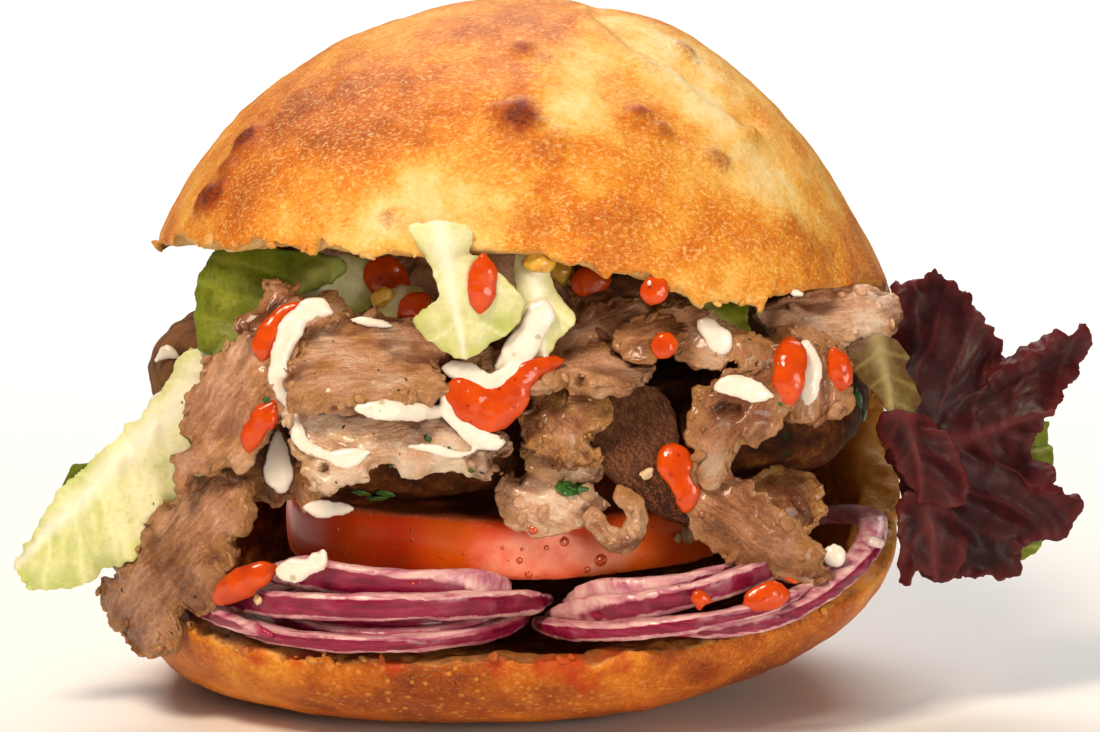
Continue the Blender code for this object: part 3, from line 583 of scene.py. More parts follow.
# Holes torn right into a slice: the slice, across and up its box, radius mm.
HOLES = [("doner_slice_right", 0.43, 0.66, 1.9), ("doner_slice_right", 0.34, 0.68, 1.3),
         ("doner_slice_centre", 0.62, 0.45, 0.9), ("doner_slice_front_low", 0.16, 0.30, 1.0)]
# Slices with a thin milky film of garlic sauce, and how much.
SMEARED = {"doner_slice_front_low": 0.75, "doner_slice_right": 0.5, "doner_slice_fold": 0.4,
           "doner_slice_centre": 0.2, "doner_slice_back_left": 0.3}


def holes_torn(node, points, seed):
    """How deep each point lies in a hole torn into the slice, 0 to 1."""
    pit = np.zeros(len(points))
    for owner, across, up, radius in HOLES:
        if owner == node:
            gap = (points - np.array(at(node, across, up))) @ SEEN.T
            gap = np.linalg.norm(gap, axis=1) / radius + 0.4 * lumps(points, 2.0, 2, seed + 15)
            pit = np.maximum(pit, 1 - ease(0.5, 1.1, gap))
    return pit


def rim_torn(flat_spot, ragged, seed):
    """How far the slice's rim is pulled out or torn in at each spot of it, in mm."""
    torn = ease(-0.5, 0.5, lumps(flat_spot, 10.0, 2, seed + 8))
    tear = 1.7 * lumps(flat_spot, 9.0, 2, seed + 9) + 0.9 * torn * lumps(flat_spot, 1.7, 3, seed + 10)
    tear += 0.9 * (1 - torn) * lumps(flat_spot, 1.2, 2, seed + 14)
    tear -= 2.8 * ease(0.3, 0.6, lumps(flat_spot, 5.0, 2, seed + 13))
    return min(1.2, 1.4 * ragged) + ragged * tear


def shape_doner(node, tone, crisp, ragged):
    """A shaved slice: its long grain, cracks and hollows, and a thin torn rim of browned crumbly lumps."""
    obj = fine_copy(node, "shaved", 0.55, rounds=3, crease=1.0, corner=1.0)
    seed = int(tone * 100) + len(node)
    points, normals = points_of(obj), normals_of(obj)
    grain, middle, flat = along_grain(points)
    rim, rim_spot, out = from_rim(points, normals, flat)
    flat_spot = rim_spot - np.outer((rim_spot - middle) @ flat, flat)
    near = 1 - ease(0.4, 4.6, rim + 1.8 * lumps(points, 5.0, 2, seed))
    edge = 1 - ease(0.0, 3.2, rim)
    on_face = ease(0.3, 0.7, np.abs(normals @ flat))
    wander = grain + 1.2 * np.stack([lumps(points, 8.0, 2, seed + k) for k in (20, 21, 22)], axis=1)
    fibres = 1 - 2 * np.abs(lumps(wander * (0.22, 1.0, 0.6), 1.7, 3, seed))
    folds = lumps(points, 7.0, 3, seed + 1)
    rise = 0.1 + 0.13 * fibres + (0.25 + 0.35 * min(1, ragged)) * folds
    rise += 0.16 * lumps(points, 1.2, 3, seed + 3) - 0.75 * edge * on_face
    beads = 1.05 * (0.5 - grains(points, 2.1, seed)) + 0.45 * lumps(points, 1.5, 2, seed + 2)
    beads *= near * (0.25 + 0.75 * crisp)
    cracks = ease(0.4, 0.75, lumps(grain * (0.3, 1.0, 0.7), 5.0, 3, seed + 5))
    rise += beads - 0.6 * cracks
    pit = holes_torn(node, points, seed)
    reach = (rim_torn(flat_spot, ragged, seed) * (1 - ease(0.0, 4.5, rim)))[:, None]
    bend = 0.9 * lumps(grain * (1, 1, 0), 14.0, 2, seed + 11)
    moved = points + normals * rise[:, None] + out * reach + np.outer(bend, flat)
    move_points(obj, moved + np.outer(2.6 * pit * (normals @ np.array(FRONT) < 0), FRONT))
    cream = SMEARED.get(node, 0) * ease(0.0, 0.5, lumps(points, 9.0, 3, seed + 12) + 0.3 * folds)
    # The tone is browning, and for slices deep under the bread also painted shade.
    paint(obj, grain=wander * MM, rim=np.clip(near * (0.55 + crisp), 0, 1) * (0.4 + 0.6 * crisp),
          tone=np.clip(tone + 0.18 * lumps(points, 9.0, 2, seed + 7), 0, 1))
    # Painted shade, kept for the finish: darker in cracks, in the hollows between folds and beads, and in
    # torn holes.
    hollow = np.clip(0.8 * cracks + ease(0.1, -0.7, folds + 1.2 * beads + 0.3 * fibres), 0, 1)
    paint(obj, hollow=hollow + 0.4 * pit, smear=cream)
    return obj


def doner_tint(finish, mixed, fibres, patches, specks):
    """Pink-brown flesh with tan patches, crisp at its rim, with painted orange-brown shade in its hollows and
    painted near-black shade in torn holes, milky where smeared.
    """
    rim, hollow, smear = finish.values("rim", "hollow", "smear")
    flesh = finish.ramp(mixed, (0.0, "#f6dabf"), (0.2, "#e4b28e"), (0.4, "#cd9570"), (0.6, "#ad744c"),
                        (0.8, "#7e4623"), (1.0, "#47210b"))
    tan = finish.ramp(mixed, (0.0, "#efc88f"), (0.3, "#d29656"), (0.6, "#a1652a"), (1.0, "#552a0a"))
    tint = finish.mix(finish.span(patches, 0.5, 0.7, 0.8), flesh, tan)
    crisp = finish.ramp(specks, (0.3, "#7b4517"), (0.5, "#be8340"), (0.72, "#e4b97e"))
    edge = finish.span(finish.plus(rim, 0.5, fibres), 0.5, 1.1, 0.85)
    tint = finish.mix(edge, tint, crisp)
    # Painted shade: orange-brown in the hollows and cracks, near black deep in torn holes.
    tint = finish.mix(finish.times(hollow, 0.8), tint, "#6d3108")
    hole = finish.span(hollow, 1.02, 1.35, 0.9)
    tint = finish.mix(hole, tint, "#1c0903")
    milky = finish.span(finish.plus(smear, 1.4, fibres), 0.8, 1.6, 0.85)
    return finish.mix(milky, tint, "#ecdcc6")


def doner_finish():
    """Stacked veal and chicken meat roasted on the spit and shaved: pink-brown and finely fibrous where it
    was cut, tan and crumbly at its rim, with painted orange-brown shade in its cracks and hollows, and wet."""
    finish = Finish("spit_roasted_doner_meat", shine=0.45, coat=(0.4, 0.13),
                    glow=(0.12, 0.0015, (1.0, 0.4, 0.25)))
    where = finish.where()
    along = finish.stretch(finish.vector("grain"), (0.2, 1.0, 0.7))
    fibres = finish.noise(along, 0.7, 6.0, 0.68)
    patches = finish.noise(where, 7.0, 4.0)
    specks = finish.noise(where, 0.5, 4.0, 0.75)
    strands = finish.noise(along, 2.2, 3.0, 0.6)
    pits = finish.cells(where, 0.8)
    mixed = finish.plus(finish.value("tone"), 0.95, fibres, 0.5, strands, 0.75, specks, 0.75, patches)
    mixed = finish.less(mixed, 1.49)
    tint = doner_tint(finish, mixed, fibres, patches, specks)
    relief = finish.plus(fibres, 0.8, specks, 0.4, pits, 0.8, strands)
    return finish.done(tint, finish.bump(relief, 0.9, 0.75), finish.span(specks, 0.35, 0.65, 0.6, 0.15))


def shape_minced(node):
    """A browned minced-meat piece: coarse grains with cracks between them."""
    obj = fine_copy(node, "grilled", 0.85, rounds=3, crease=0.2)
    seed = len(node)
    points, normals = points_of(obj), normals_of(obj)
    coarse, fine = grains(points, 4.2, seed), grains(points, 1.9, seed + 1)
    rise = 0.8 * (0.55 - coarse) + 0.35 * (0.5 - fine) + 0.8 * lumps(points, 12.0, 3, seed)
    rise -= 0.9 * ease(0.45, 0.75, lumps(points, 7.0, 3, seed + 3))
    move_points(obj, points + normals * rise[:, None])
    paint(obj, crack=ease(0.55, 0.95, coarse),
          paler=np.full(len(points), 0.4 if node == "meat_patty_far_left" else 0.0))
    return obj


def minced_finish():
    """Minced beef with herbs, grilled dark: browned grains, blackened cracks, flecks of parsley and fat."""
    finish = Finish("grilled_minced_beef", shine=0.12, coat=(0.01, 0.2), glow=(0.05, 0.002, (1.0, 0.35, 0.2)))
    where = finish.where()
    crack = finish.value("crack")
    patches = finish.noise(where, 6.0, 6.0, 0.65)
    specks = finish.noise(where, 0.8, 4.0, 0.7)
    mixed = finish.plus(patches, 0.5, specks)
    brown = finish.ramp(mixed, (0.45, "#160702"), (0.62, "#351605"), (0.8, "#552b0e"), (1.0, "#8a5624"))
    paler = finish.value("paler")
    brown = finish.mix(paler, brown, "#a9794c")
    crack = finish.times(crack, 0.8)
    brown = finish.mix(crack, brown, "#1c0a04")
    flecks = finish.cells(where, 5.0)
    herb = finish.plus(flecks, -0.35, specks)
    herb = finish.span(herb, 0.0, -0.07, 0.8)
    tint = finish.mix(herb, brown, "#1f2e0a")
    return finish.done(tint, finish.bump(mixed, 0.9, 0.8), finish.between(specks, 0.55, 0.9))


def shape_beef(node):
    """The dark slice: long fibres that run down it, and a charred lower end."""
    obj = fine_copy(node, "roasted", 0.6, rounds=3, crease=0.8, corner=0.7)
    points, normals = points_of(obj), normals_of(obj)
    grain = along_grain(points)[0]
    rise = 0.1 * lumps(grain * (0.14, 1.0, 0.5), 1.4, 3, 5) + 0.5 * lumps(points, 6.0, 3, 6)
    rise += 0.12 * lumps(points, 1.0, 2, 8)
    rise -= 0.4 * ease(0.4, 0.8, lumps(grain * (0.3, 1.0, 0.5), 4.0, 3, 7))
    move_points(obj, points + normals * rise[:, None])
    paint(obj, grain=grain * MM)
    low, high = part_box(node)
    up = (points[:, 2] - low.z / MM) / ((high.z - low.z) / MM)
    paint(obj, char=np.clip(1 - ease(0.1, 0.75, up + 0.2 * lumps(points, 6.0, 2, 9)), 0, 1))
    return obj


def beef_finish():
    """Roast beef cut with its fibres: dark brown, charred to nearly black low down, with a dull wet shine."""
    finish = Finish("roasted_beef_slice", shine=0.25, coat=(0.04, 0.3), glow=(0.05, 0.002, (1.0, 0.3, 0.2)))
    where = finish.where()
    grain = finish.vector("grain")
    char = finish.value("char")
    along = finish.stretch(grain, (0.4, 1.0, 0.8))
    fibres = finish.noise(along, 0.6, 6.0, 0.72)
    specks = finish.noise(where, 0.4, 4.0, 0.7)
    fuzz = finish.plus(fibres, 0.8, specks)
    brown = finish.ramp(fuzz, (0.55, "#3f1c0d"), (0.78, "#5d331d"), (0.9, "#70432a"), (1.0, "#8d5c3e"))
    burnt = finish.ramp(fuzz, (0.65, "#0b0301"), (0.9, "#2b0f04"), (1.0, "#7a3c14"))
    tint = finish.mix(char, brown, burnt)
    return finish.done(tint, finish.bump(fuzz, 0.9, 0.6), finish.between(char, 0.7, 0.28))


# ---------------------------------------------------------------- tomato and onion

# Painted highlight: where the slice's side is painted pinker and paler, as a broad glossy sheen: across and
# up its box, radius mm.
RIPE_SHEEN = [(0.50, 0.50, 7), (0.62, 0.56, 8), (0.73, 0.64, 6)]


def shape_tomato():
    """The slice with its taut skin round the side, and seed pockets in its cut faces."""
    obj = fine_copy("tomato_slice", "sliced", 0.85, rounds=3, crease=0.8)
    points, normals = points_of(obj), normals_of(obj)
    middle = points.mean(axis=0)
    cut = ease(0.55, 0.85, np.abs(normals[:, 2]))
    pocket = ease(0.25, 0.6, lumps(points * (1, 1, 0.2), 13.0, 2, 31))
    radius = np.linalg.norm((points - middle)[:, :2] / (41.0, 37.0), axis=1)
    pocket *= ease(0.2, 0.35, radius) * (1 - ease(0.78, 0.86, radius))
    rise = 0.35 * lumps(points, 18.0, 2, 32) - 0.8 * cut * pocket + 0.12 * cut * lumps(points, 2.0, 2, 33)
    move_points(obj, points + normals * rise[:, None])
    paint(obj, cut=cut, pocket=cut * pocket)
    # Painted highlight: a paler pink patch on the front of the skin.
    bloom = np.zeros(len(points))
    for across, up, radius in RIPE_SHEEN:
        gap = (points - np.array(at("tomato_slice", across, up))) @ SEEN.T * (1, 1.4)
        bloom += 1 - ease(0.0, 1.5, np.linalg.norm(gap, axis=1) / radius + 0.25 * lumps(points, 4.0, 3, 34))
    paint(obj, bloom=np.clip(bloom, 0, 1) * (points[:, 1] < middle[1]))
    return obj


def tomato_finish():
    """A ripe salad tomato: taut glossy red-orange skin with fine pale speckles and a painted highlight of
    paler pink on its front, and wet paler flesh where it is cut."""
    finish = Finish("ripe_tomato", shine=0.25, coat=(0.2, 0.12), glow=(0.25, 0.004, (1.0, 0.25, 0.1)))
    where = finish.where()
    bloom, cut, pocket = finish.values("bloom", "cut", "pocket")
    patches = finish.noise(where, 16.0, 3.0)
    speckle = finish.noise(where, 0.7, 2.0)
    skin = finish.ramp(patches, (0.3, "#ea3d08"), (0.5, "#ee5208"), (0.75, "#ee720a"))
    # Painted highlight: broken patches of pale pink on the skin's front.
    sheen = finish.noise(where, 4.0, 4.0, 0.65)
    bloom = finish.times(sheen, bloom)
    bloom = finish.span(bloom, 0.1, 0.62, 0.85)
    skin = finish.mix(bloom, skin, "#f9a488")
    dots = finish.span(speckle, 0.6, 0.75, 0.5)
    skin = finish.mix(dots, skin, "#e2834a")
    flesh = finish.ramp(speckle, (0.3, "#d2502a"), (0.75, "#e98b5e"))
    flesh = finish.mix(pocket, flesh, "#c9691f")
    tint = finish.mix(cut, skin, flesh)
    return finish.done(tint, finish.bump(speckle, 0.12, 0.3), finish.between(speckle, 0.28, 0.45))


def ring_middle(points):
    """The middle and radii of the oval that the ring follows."""
    x, y = points[:, 0], points[:, 1]
    a, b, c, d = np.linalg.lstsq(np.stack([x * x, y * y, x, y], axis=1), np.ones(len(x)), rcond=None)[0]
    centre = np.array((-c / 2 / a, -d / 2 / b))
    reach = 1 + a * centre[0] ** 2 + b * centre[1] ** 2
    return centre, np.sqrt(np.abs((reach / a, reach / b)))


# Rings cut thicker at the front, and by what share.
TALLER = {"onion_ring_5": 0.4, "onion_ring_6": 0.6, "onion_ring_9": 0.7, "onion_ring_10": 0.9}

# Rings cut this many mm thicker where the two nests meet.
THICKER = {"onion_ring_6": 1.6, "onion_ring_9": 1.2, "onion_ring_10": 2.6}


def soften(obj, values, rounds):
    """The values, each drawn towards those of the points next to it."""
    edges = np.empty(len(obj.data.edges) * 2, np.int32)
    obj.data.edges.foreach_get("vertices", edges)
    first, second = edges.reshape(-1, 2).T
    count = np.bincount(edges, minlength=len(values)) + 1
    for _ in range(rounds):
        total = values + np.bincount(first, values[second], len(values))
        values = (total + np.bincount(second, values[first], len(values))) / count
    return values


def shape_onion(node):
    """A ring of raw onion: ribbed skin side, wet cut faces."""
    obj = fine_copy(node, "sliced", 0.5, rounds=2, crease=0.5, corner=0.6)
    seed = len(node) + int(node[-1])
    points, normals = points_of(obj), normals_of(obj)
    centre, radii = ring_middle(points)
    flat = (points[:, :2] - centre) / radii
    radius = np.linalg.norm(flat, axis=1)
    turn = np.arctan2(flat[:, 1], flat[:, 0])
    inner, outer = np.percentile(radius, (2, 98))
    depth = (radius - inner) / (outer - inner)
    round_the_ring = np.stack([turn * radii.mean(), depth * 4, points[:, 2]], axis=1)
    out = np.sum(flat / radius[:, None] * normals[:, :2], axis=1)
    level = np.abs(normals[:, 2]) + 0.12 * lumps(round_the_ring * (0.3, 1, 1), 4.0, 2, seed + 2)
    level = soften(obj, level, 5)
    out = soften(obj, out, 4)
    rise = 0.25 + 0.14 * lumps(round_the_ring * (0.12, 1, 1), 1.2, 2, seed)
    rise += 0.3 * lumps(points, 7.0, 2, seed) + 0.08 * lumps(points, 1.6, 2, seed + 1)
    front = ease(-36, -50, points[:, 1])
    taller = TALLER.get(node, 0) * front * (points[:, 2] - np.percentile(points[:, 2], 2))
    thicker = THICKER.get(node, 0) * (1 - ease(6, 30, np.abs(points[:, 0] + 5)))
    moved = points + normals * rise[:, None]
    moved[:, 2] += taller + thicker * front * ease(0.0, 0.5, normals[:, 2])
    move_points(obj, moved)
    paint(obj, level=level, skin=ease(-0.2, 0.35, out), depth=depth, round=round_the_ring * MM)
    return obj


def onion_finish():
    """Raw red onion: magenta outer skin on each layer, pinkish white and wet where the knife went through."""
    finish = Finish("raw_red_onion", shine=0.3, coat=(0.25, 0.12), glow=(0.2, 0.002, (1.0, 0.4, 0.5)))
    level = finish.value("level")
    cut = finish.span(level, 0.34, 0.42)
    skin, depth = finish.values("skin", "depth")
    rounds = finish.vector("round")
    along = finish.stretch(rounds, (0.1, 1.0, 1.0))
    streaks = finish.noise(along, 0.8, 5.0, 0.6)
    cloud = finish.noise(rounds, 6.0, 3.0)
    outer = finish.ramp(streaks, (0.25, "#5a0320"), (0.45, "#7d0a31"), (0.62, "#951d45"), (0.8, "#ae3d60"))
    paler = finish.span(cloud, 0.55, 0.85, 0.5)
    outer = finish.mix(paler, outer, "#b07886")
    inner = finish.ramp(streaks, (0.3, "#b4626f"), (0.75, "#e0b6b4"))
    side = finish.mix(skin, inner, outer)
    face = finish.ramp(streaks, (0.28, "#8e3557"), (0.42, "#bf7688"), (0.58, "#deb0ae"), (0.78, "#f2dacf"))
    margin = finish.span(depth, 0.82, 0.95)
    face = finish.mix(margin, face, "#a0264c")
    tint = finish.mix(cut, side, face)
    return finish.done(tint, finish.bump(streaks, 0.35, 0.3), finish.between(cloud, 0.2, 0.38))


# ---------------------------------------------------------------- leaves

# Each leaf: its kind, where its rib starts and ends on the front of its box (across, up), rib width mm,
# spacing of its side veins mm, height of its puckers mm, height of its rim frill mm.
LEAVES = {
    "iceberg_leaf_left": ("iceberg", (1.0, 1.0), (0.0, 0.08), 3.0, 8, 1.3, 0.9),
    "iceberg_centre": ("iceberg", (0.25, 1.1), (0.5, 0.0), 1.6, 10, 0.7, 0.3),
    "iceberg_beside": ("iceberg", (0.4, 1.0), (0.6, 0.0), 1.6, 9, 0.6, 0.3),
    "iceberg_inner_left": ("iceberg", (0.5, 1.0), (0.5, 0.0), 1.2, 6, 0.5, 0.5),
    "iceberg_inner_centre": ("iceberg", (0.5, 1.0), (0.5, 0.0), 1.0, 5, 0.4, 0.4),
    "romaine_leaf_left": ("green", (0.9, 0.9), (0.1, 0.1), 1.6, 7, 0.8, 0.5),
    "green_leaf_tip": ("green", (1.0, 0.4), (0.0, 0.6), 1.2, 5, 0.5, 0.5),
    "green_leaf_right": ("green", (0.0, 1.0), (1.0, 0.0), 1.0, 4, 0.4, 0.4),
    "green_leaf_behind": ("green", (0.0, 0.3), (1.0, 0.7), 1.0, 5, 0.5, 0.5),
    "green_leaf_under": ("green", (0.0, 0.7), (1.0, 0.3), 1.0, 5, 0.4, 0.4),
    "red_lettuce_leaf": ("red", (0.0, 0.42), (1.0, 0.62), 1.7, 8, 0.9, 1.2),
    "red_lettuce_curl": ("bronze", (0.4, 1.0), (0.6, 0.0), 1.4, 6, 0.5, 0.4),
    "red_lettuce_lobe": ("red", (0.3, 1.0), (0.5, 0.0), 1.2, 6, 0.6, 0.8),
    "red_lettuce_low": ("red", (0.4, 1.0), (0.6, 0.0), 1.6, 6, 0.5, 0.6),
}


def shape_leaf(node, rib_from, rib_to, rib_width, vein_gap, pucker, frill):
    """A thin leaf with its rib, side veins, puckered blade and frilled rim."""
    obj = fine_copy(node, "leaf", 0.55, rounds=3, crease=1.0, corner=0.9)
    seed = len(node)
    points, normals = points_of(obj), normals_of(obj)
    flat = along_grain(points)[2]
    start, end = np.array(at(node, *rib_from)), np.array(at(node, *rib_to))
    run = end - start
    run -= flat * (run @ flat)
    size = np.linalg.norm(run)
    run /= size
    across = np.cross(flat, run)
    d = points - start
    along_leaf = d @ run
    off_rib = d @ across + 0.8 * lumps(points, 18.0, 2, seed)
    rim, rim_spot, out = from_rim(points, normals, flat)
    in_blade = ease(0.4, 4.0, rim)
    taper = np.clip(1.2 - along_leaf / size, 0.15, 1.2)
    rib = np.exp(-(off_rib / (rib_width * taper)) ** 2)
    wander = 1.6 * lumps(points, 9.0, 2, seed + 1)
    wave = (along_leaf - 0.8 * np.abs(off_rib) + wander) / vein_gap
    from_vein = np.abs(wave - np.round(wave)) * vein_gap
    vein = np.exp(-(from_vein / 0.42) ** 2) * (1 - ease(14, 34, np.abs(off_rib)) * 0.7)
    net = grains(np.stack([along_leaf, off_rib, np.zeros(len(points))], axis=1), 3.2, seed)
    flat_points = points - np.outer(d @ flat, flat)
    puff = 0.8 * pucker * (ease(0, vein_gap / 2, from_vein) * in_blade + lumps(flat_points, 6.0, 2, seed))
    puff += frill * (1 - ease(0, 6.0, rim)) * lumps(flat_points, 4.2, 2, seed + 4)
    swell = -0.26 + 0.45 * rib + 0.14 * vein
    jag = 0.4 + frill * (1.1 * lumps(rim_spot, 3.6, 2, seed + 6) + 0.6 * lumps(rim_spot, 1.5, 2, seed + 7))
    moved = points + np.outer(puff, flat) + normals * swell[:, None]
    moved += out * (jag * (1 - ease(0, 4.0, rim)))[:, None]
    move_points(obj, moved)
    paint(obj, rib=rib, vein=np.clip(vein + 0.35 * ease(0.5, 0.75, net), 0, 1), rim=1 - ease(0.2, 2.6, rim),
          tip=np.clip(along_leaf / size, 0, 1))
    return obj


def leaf_finish(name, blade, deep, rib_tint, vein_tint, rim_tint, rib_share, rough_low, glow):
    """The shared build of a leaf's finish: blade colours, ribs and veins, a tinted rim, fine cells and a wet
    gloss."""
    finish = Finish(name, shine=0.16, coat=(0.04, 0.2), glow=(glow, 0.0025, (0.7, 1.0, 0.25)))
    where = finish.where()
    rib, vein, rim, tip = finish.values("rib", "vein", "rim", "tip")
    cloud = finish.noise(where, 8.0, 5.0, 0.6)
    cells = finish.cells(where, 1.3)
    fine = finish.noise(where, 0.9, 3.0)
    shade = finish.plus(cloud, 0.3, tip)
    tint = finish.ramp(shade, *blade)
    darker = finish.span(fine, 0.45, 0.75, 0.5)
    tint = finish.mix(darker, tint, deep)
    fringe = finish.times(rim, cloud)
    tint = finish.mix(fringe, tint, rim_tint)
    lines = finish.times(vein, 0.55)
    tint = finish.mix(lines, tint, vein_tint)
    spine = finish.times(rib, rib_share)
    tint = finish.mix(spine, tint, rib_tint)
    relief = finish.plus(fine, 0.5, cells)
    return finish.done(tint, finish.bump(relief, 0.3, 0.35),
                       finish.between(cloud, rough_low, rough_low + 0.2))


def leaf_finishes():
    """Iceberg is pale and crisp, the green leaf soft and dark, the red leaf burgundy, and its curl bronze."""
    return {
        "iceberg": leaf_finish("iceberg_lettuce", [(0.3, "#f2edd2"), (1.0, "#b0ba55"), (0.62, "#e6e6b4")],
                               "#c2c86c", "#f6f3e2", "#eef0c6", "#bcc45c", 0.75, 0.3, 0.4),
        "green": leaf_finish("green_salad_leaf", [(0.3, "#333f06"), (1.0, "#92962a"), (0.6, "#606a10")],
                             "#2c3a06", "#b3b766", "#8f9a3c", "#46560c", 0.6, 0.35, 0.25),
        "red": leaf_finish("red_leaf_lettuce", [(0.3, "#1b0508"), (1.0, "#431114"), (0.6, "#2d0a0d")],
                           "#160405", "#7c3838", "#571f20", "#6b2426", 0.4, 0.4, 0.06),
        "bronze": leaf_finish("bronze_lettuce_base", [(0.3, "#47301a"), (1.0, "#857537"), (0.6, "#66502a")],
                              "#3c1c14", "#b3a373", "#998b50", "#5c2420", 0.6, 0.35, 0.2),
    }


# ---------------------------------------------------------------- sauces

# Each stroke: the node whose front it is placed on, then across, up and half-width mm along it.
GARLIC = [
    ("doner_slice_left", (1.29, 1.10, 1.4), (1.16, 1.13, 1.7), (1.03, 1.07, 1.7), (0.96, 0.97, 1.7),
     (0.89, 0.85, 1.7), (0.87, 0.73, 1.6), (0.89, 0.63, 1.5), (0.93, 0.53, 1.1)),
    ("meat_patty_left", (0.03, 0.82, 1.2), (0.03, 0.64, 1.7), (0.03, 0.47, 2.2), (0.04, 0.31, 2.3)),
    ("doner_slice_front_top", (0.39, 1.10, 0.8), (0.51, 1.07, 1.1), (0.63, 1.03, 0.8)),
    ("doner_slice_front_low", (0.32, 1.00, 1.2), (0.44, 0.98, 1.6), (0.57, 0.96, 1.5), (0.70, 0.95, 1.2)),
    ("doner_slice_front_low", (0.03, 0.86, 0.9), (0.05, 0.62, 1.1), (0.14, 0.48, 1.0), (0.26, 0.42, 1.4),
     (0.36, 0.50, 0.9)),
    ("doner_slice_front_low", (0.55, 0.56, 0.6), (0.66, 0.53, 0.9), (0.76, 0.46, 0.9), (0.85, 0.50, 0.6)),
    ("meat_patty_left", (0.12, 0.10, 0.9), (0.18, 0.08, 1.3), (0.27, 0.08, 0.9)),
    ("iceberg_beside", (0.56, 0.58, 1.9), (0.46, 0.45, 2.1), (0.35, 0.32, 1.9), (0.17, 0.18, 1.8),
     (-0.04, 0.08, 1.6)),
    ("doner_slice_centre", (-0.11, 0.67, 1.4), (0.02, 0.57, 1.8), (0.11, 0.37, 1.6), (0.20, 0.48, 1.5),
     (0.26, 0.67, 1.6)),
    ("doner_slice_centre", (-0.12, 0.05, 1.2), (-0.08, -0.30, 1.5), (0.0, -0.62, 1.7), (0.10, -0.88, 1.9),
     (0.19, -0.92, 1.5)),
    ("doner_slice_fold", (0.35, 0.71, 1.0), (0.43, 0.59, 1.9), (0.50, 0.45, 2.1), (0.54, 0.32, 1.4)),
    ("doner_slice_right_top", (0.45, 0.91, 1.6), (0.51, 0.70, 1.9), (0.50, 0.45, 2.0), (0.45, 0.22, 2.1)),
    ("onion_ring_7", (0.74, 0.93, 1.6), (0.75, 0.93, 2.4), (0.77, 0.87, 1.5)),
    ("meat_patty_far_left", (0.07, 0.71, 1.0), (0.12, 0.78, 1.3), (0.17, 0.73, 0.9)),
    ("meat_patty_far_left", (0.09, 0.46, 0.8), (0.05, 0.34, 1.1), (0.03, 0.26, 0.8)),
    ("onion_ring_5", (0.32, 3.10, 1.0), (0.31, 2.78, 1.5), (0.27, 2.44, 1.6), (0.20, 2.25, 1.8)),
    ("doner_slice_right", (0.26, 0.85, 1.0), (0.45, 0.88, 1.9), (0.64, 0.82, 1.9), (0.80, 0.79, 1.0)),
    ("pocket_bread", (0.852, 0.651, 0.9), (0.862, 0.648, 1.0)),
]
CHILLI = [
    ("doner_slice_left", (1.13, 1.14, 1.1), (1.00, 1.11, 1.8), (0.86, 1.03, 1.8), (0.77, 0.92, 1.7),
     (0.74, 0.82, 1.2)),
    ("doner_slice_left", (0.83, 0.53, 1.3), (0.77, 0.46, 1.9), (0.68, 0.38, 2.1), (0.64, 0.30, 1.8),
     (0.62, 0.23, 1.1)),
    ("iceberg_centre", (0.64, 0.74, 1.8), (0.64, 0.63, 2.2), (0.63, 0.52, 2.0), (0.62, 0.43, 1.5),
     (0.61, 0.36, 0.9)),
    ("doner_slice_centre", (-0.06, 0.28, 1.8), (0.00, 0.06, 2.9), (0.08, -0.12, 3.6), (0.16, -0.18, 3.5),
     (0.23, 0.06, 2.8), (0.27, 0.35, 2.3), (0.35, 0.65, 2.2), (0.43, 0.76, 1.6), (0.51, 0.82, 1.0)),
    ("iceberg_inner_left", (0.91, 0.79, 2.2), (0.99, 0.70, 3.0), (1.09, 0.53, 2.6), (1.13, 0.68, 1.5)),
    ("iceberg_inner_centre", (0.44, 0.43, 1.6), (0.62, 0.59, 2.4), (0.80, 0.76, 2.6)),
    ("doner_slice_upper_right", (0.17, 0.59, 1.8), (0.25, 0.75, 2.6), (0.36, 0.81, 2.4)),
    ("doner_slice_upper_right", (0.68, 0.45, 1.5), (0.74, 0.57, 2.4), (0.79, 0.67, 1.7)),
    ("doner_slice_centre_right", (0.61, 0.26, 1.4), (0.68, 0.45, 2.3), (0.73, 0.65, 1.2)),
    ("doner_slice_right_top", (0.27, 0.94, 1.8), (0.26, 0.76, 2.3), (0.24, 0.52, 2.3), (0.22, 0.30, 1.9),
     (0.23, 0.18, 1.3)),
    ("doner_slice_right_top", (0.78, 0.82, 1.5), (0.84, 0.67, 1.9), (0.87, 0.50, 1.8), (0.84, 0.37, 1.2)),
    ("beef_slice_dark", (0.79, 0.59, 1.7), (0.85, 0.52, 2.5), (0.91, 0.42, 2.4), (0.96, 0.31, 2.0),
     (0.96, 0.23, 1.8), (0.94, 0.15, 1.2)),
    ("onion_ring_8", (0.53, 0.74, 1.5), (0.53, 0.87, 2.0), (0.56, 0.84, 1.4)),
    ("onion_ring_8", (0.68, 0.76, 1.0), (0.72, 0.85, 1.5), (0.77, 0.92, 1.6), (0.81, 0.93, 1.0)),
    ("onion_ring_8", (0.81, 1.16, 0.8), (0.84, 1.10, 0.9)),
    ("onion_ring_5", (0.00, 1.00, 0.9), (0.03, 1.40, 1.6), (0.08, 1.80, 2.1), (0.13, 2.15, 2.1),
     (0.17, 2.40, 1.6)),
]


def ball(rings):
    """Points and faces of a small round ball of radius 1."""
    bm = bmesh.new()
    bmesh.ops.create_icosphere(bm, subdivisions=rings, radius=1)
    points = np.array([v.co for v in bm.verts])
    faces = np.array([[v.index for v in f.verts] for f in bm.faces])
    bm.free()
    return points, faces


def many(name, shapes):
    """One piece from many small closed shapes, each as points in mm and faces."""
    points, faces, count = [], [], 0
    for shape_points, shape_faces in shapes:
        points.append(shape_points)
        faces.append(shape_faces + count)
        count += len(shape_points)
    return mesh_piece(name, np.concatenate(points), np.concatenate(faces).tolist())


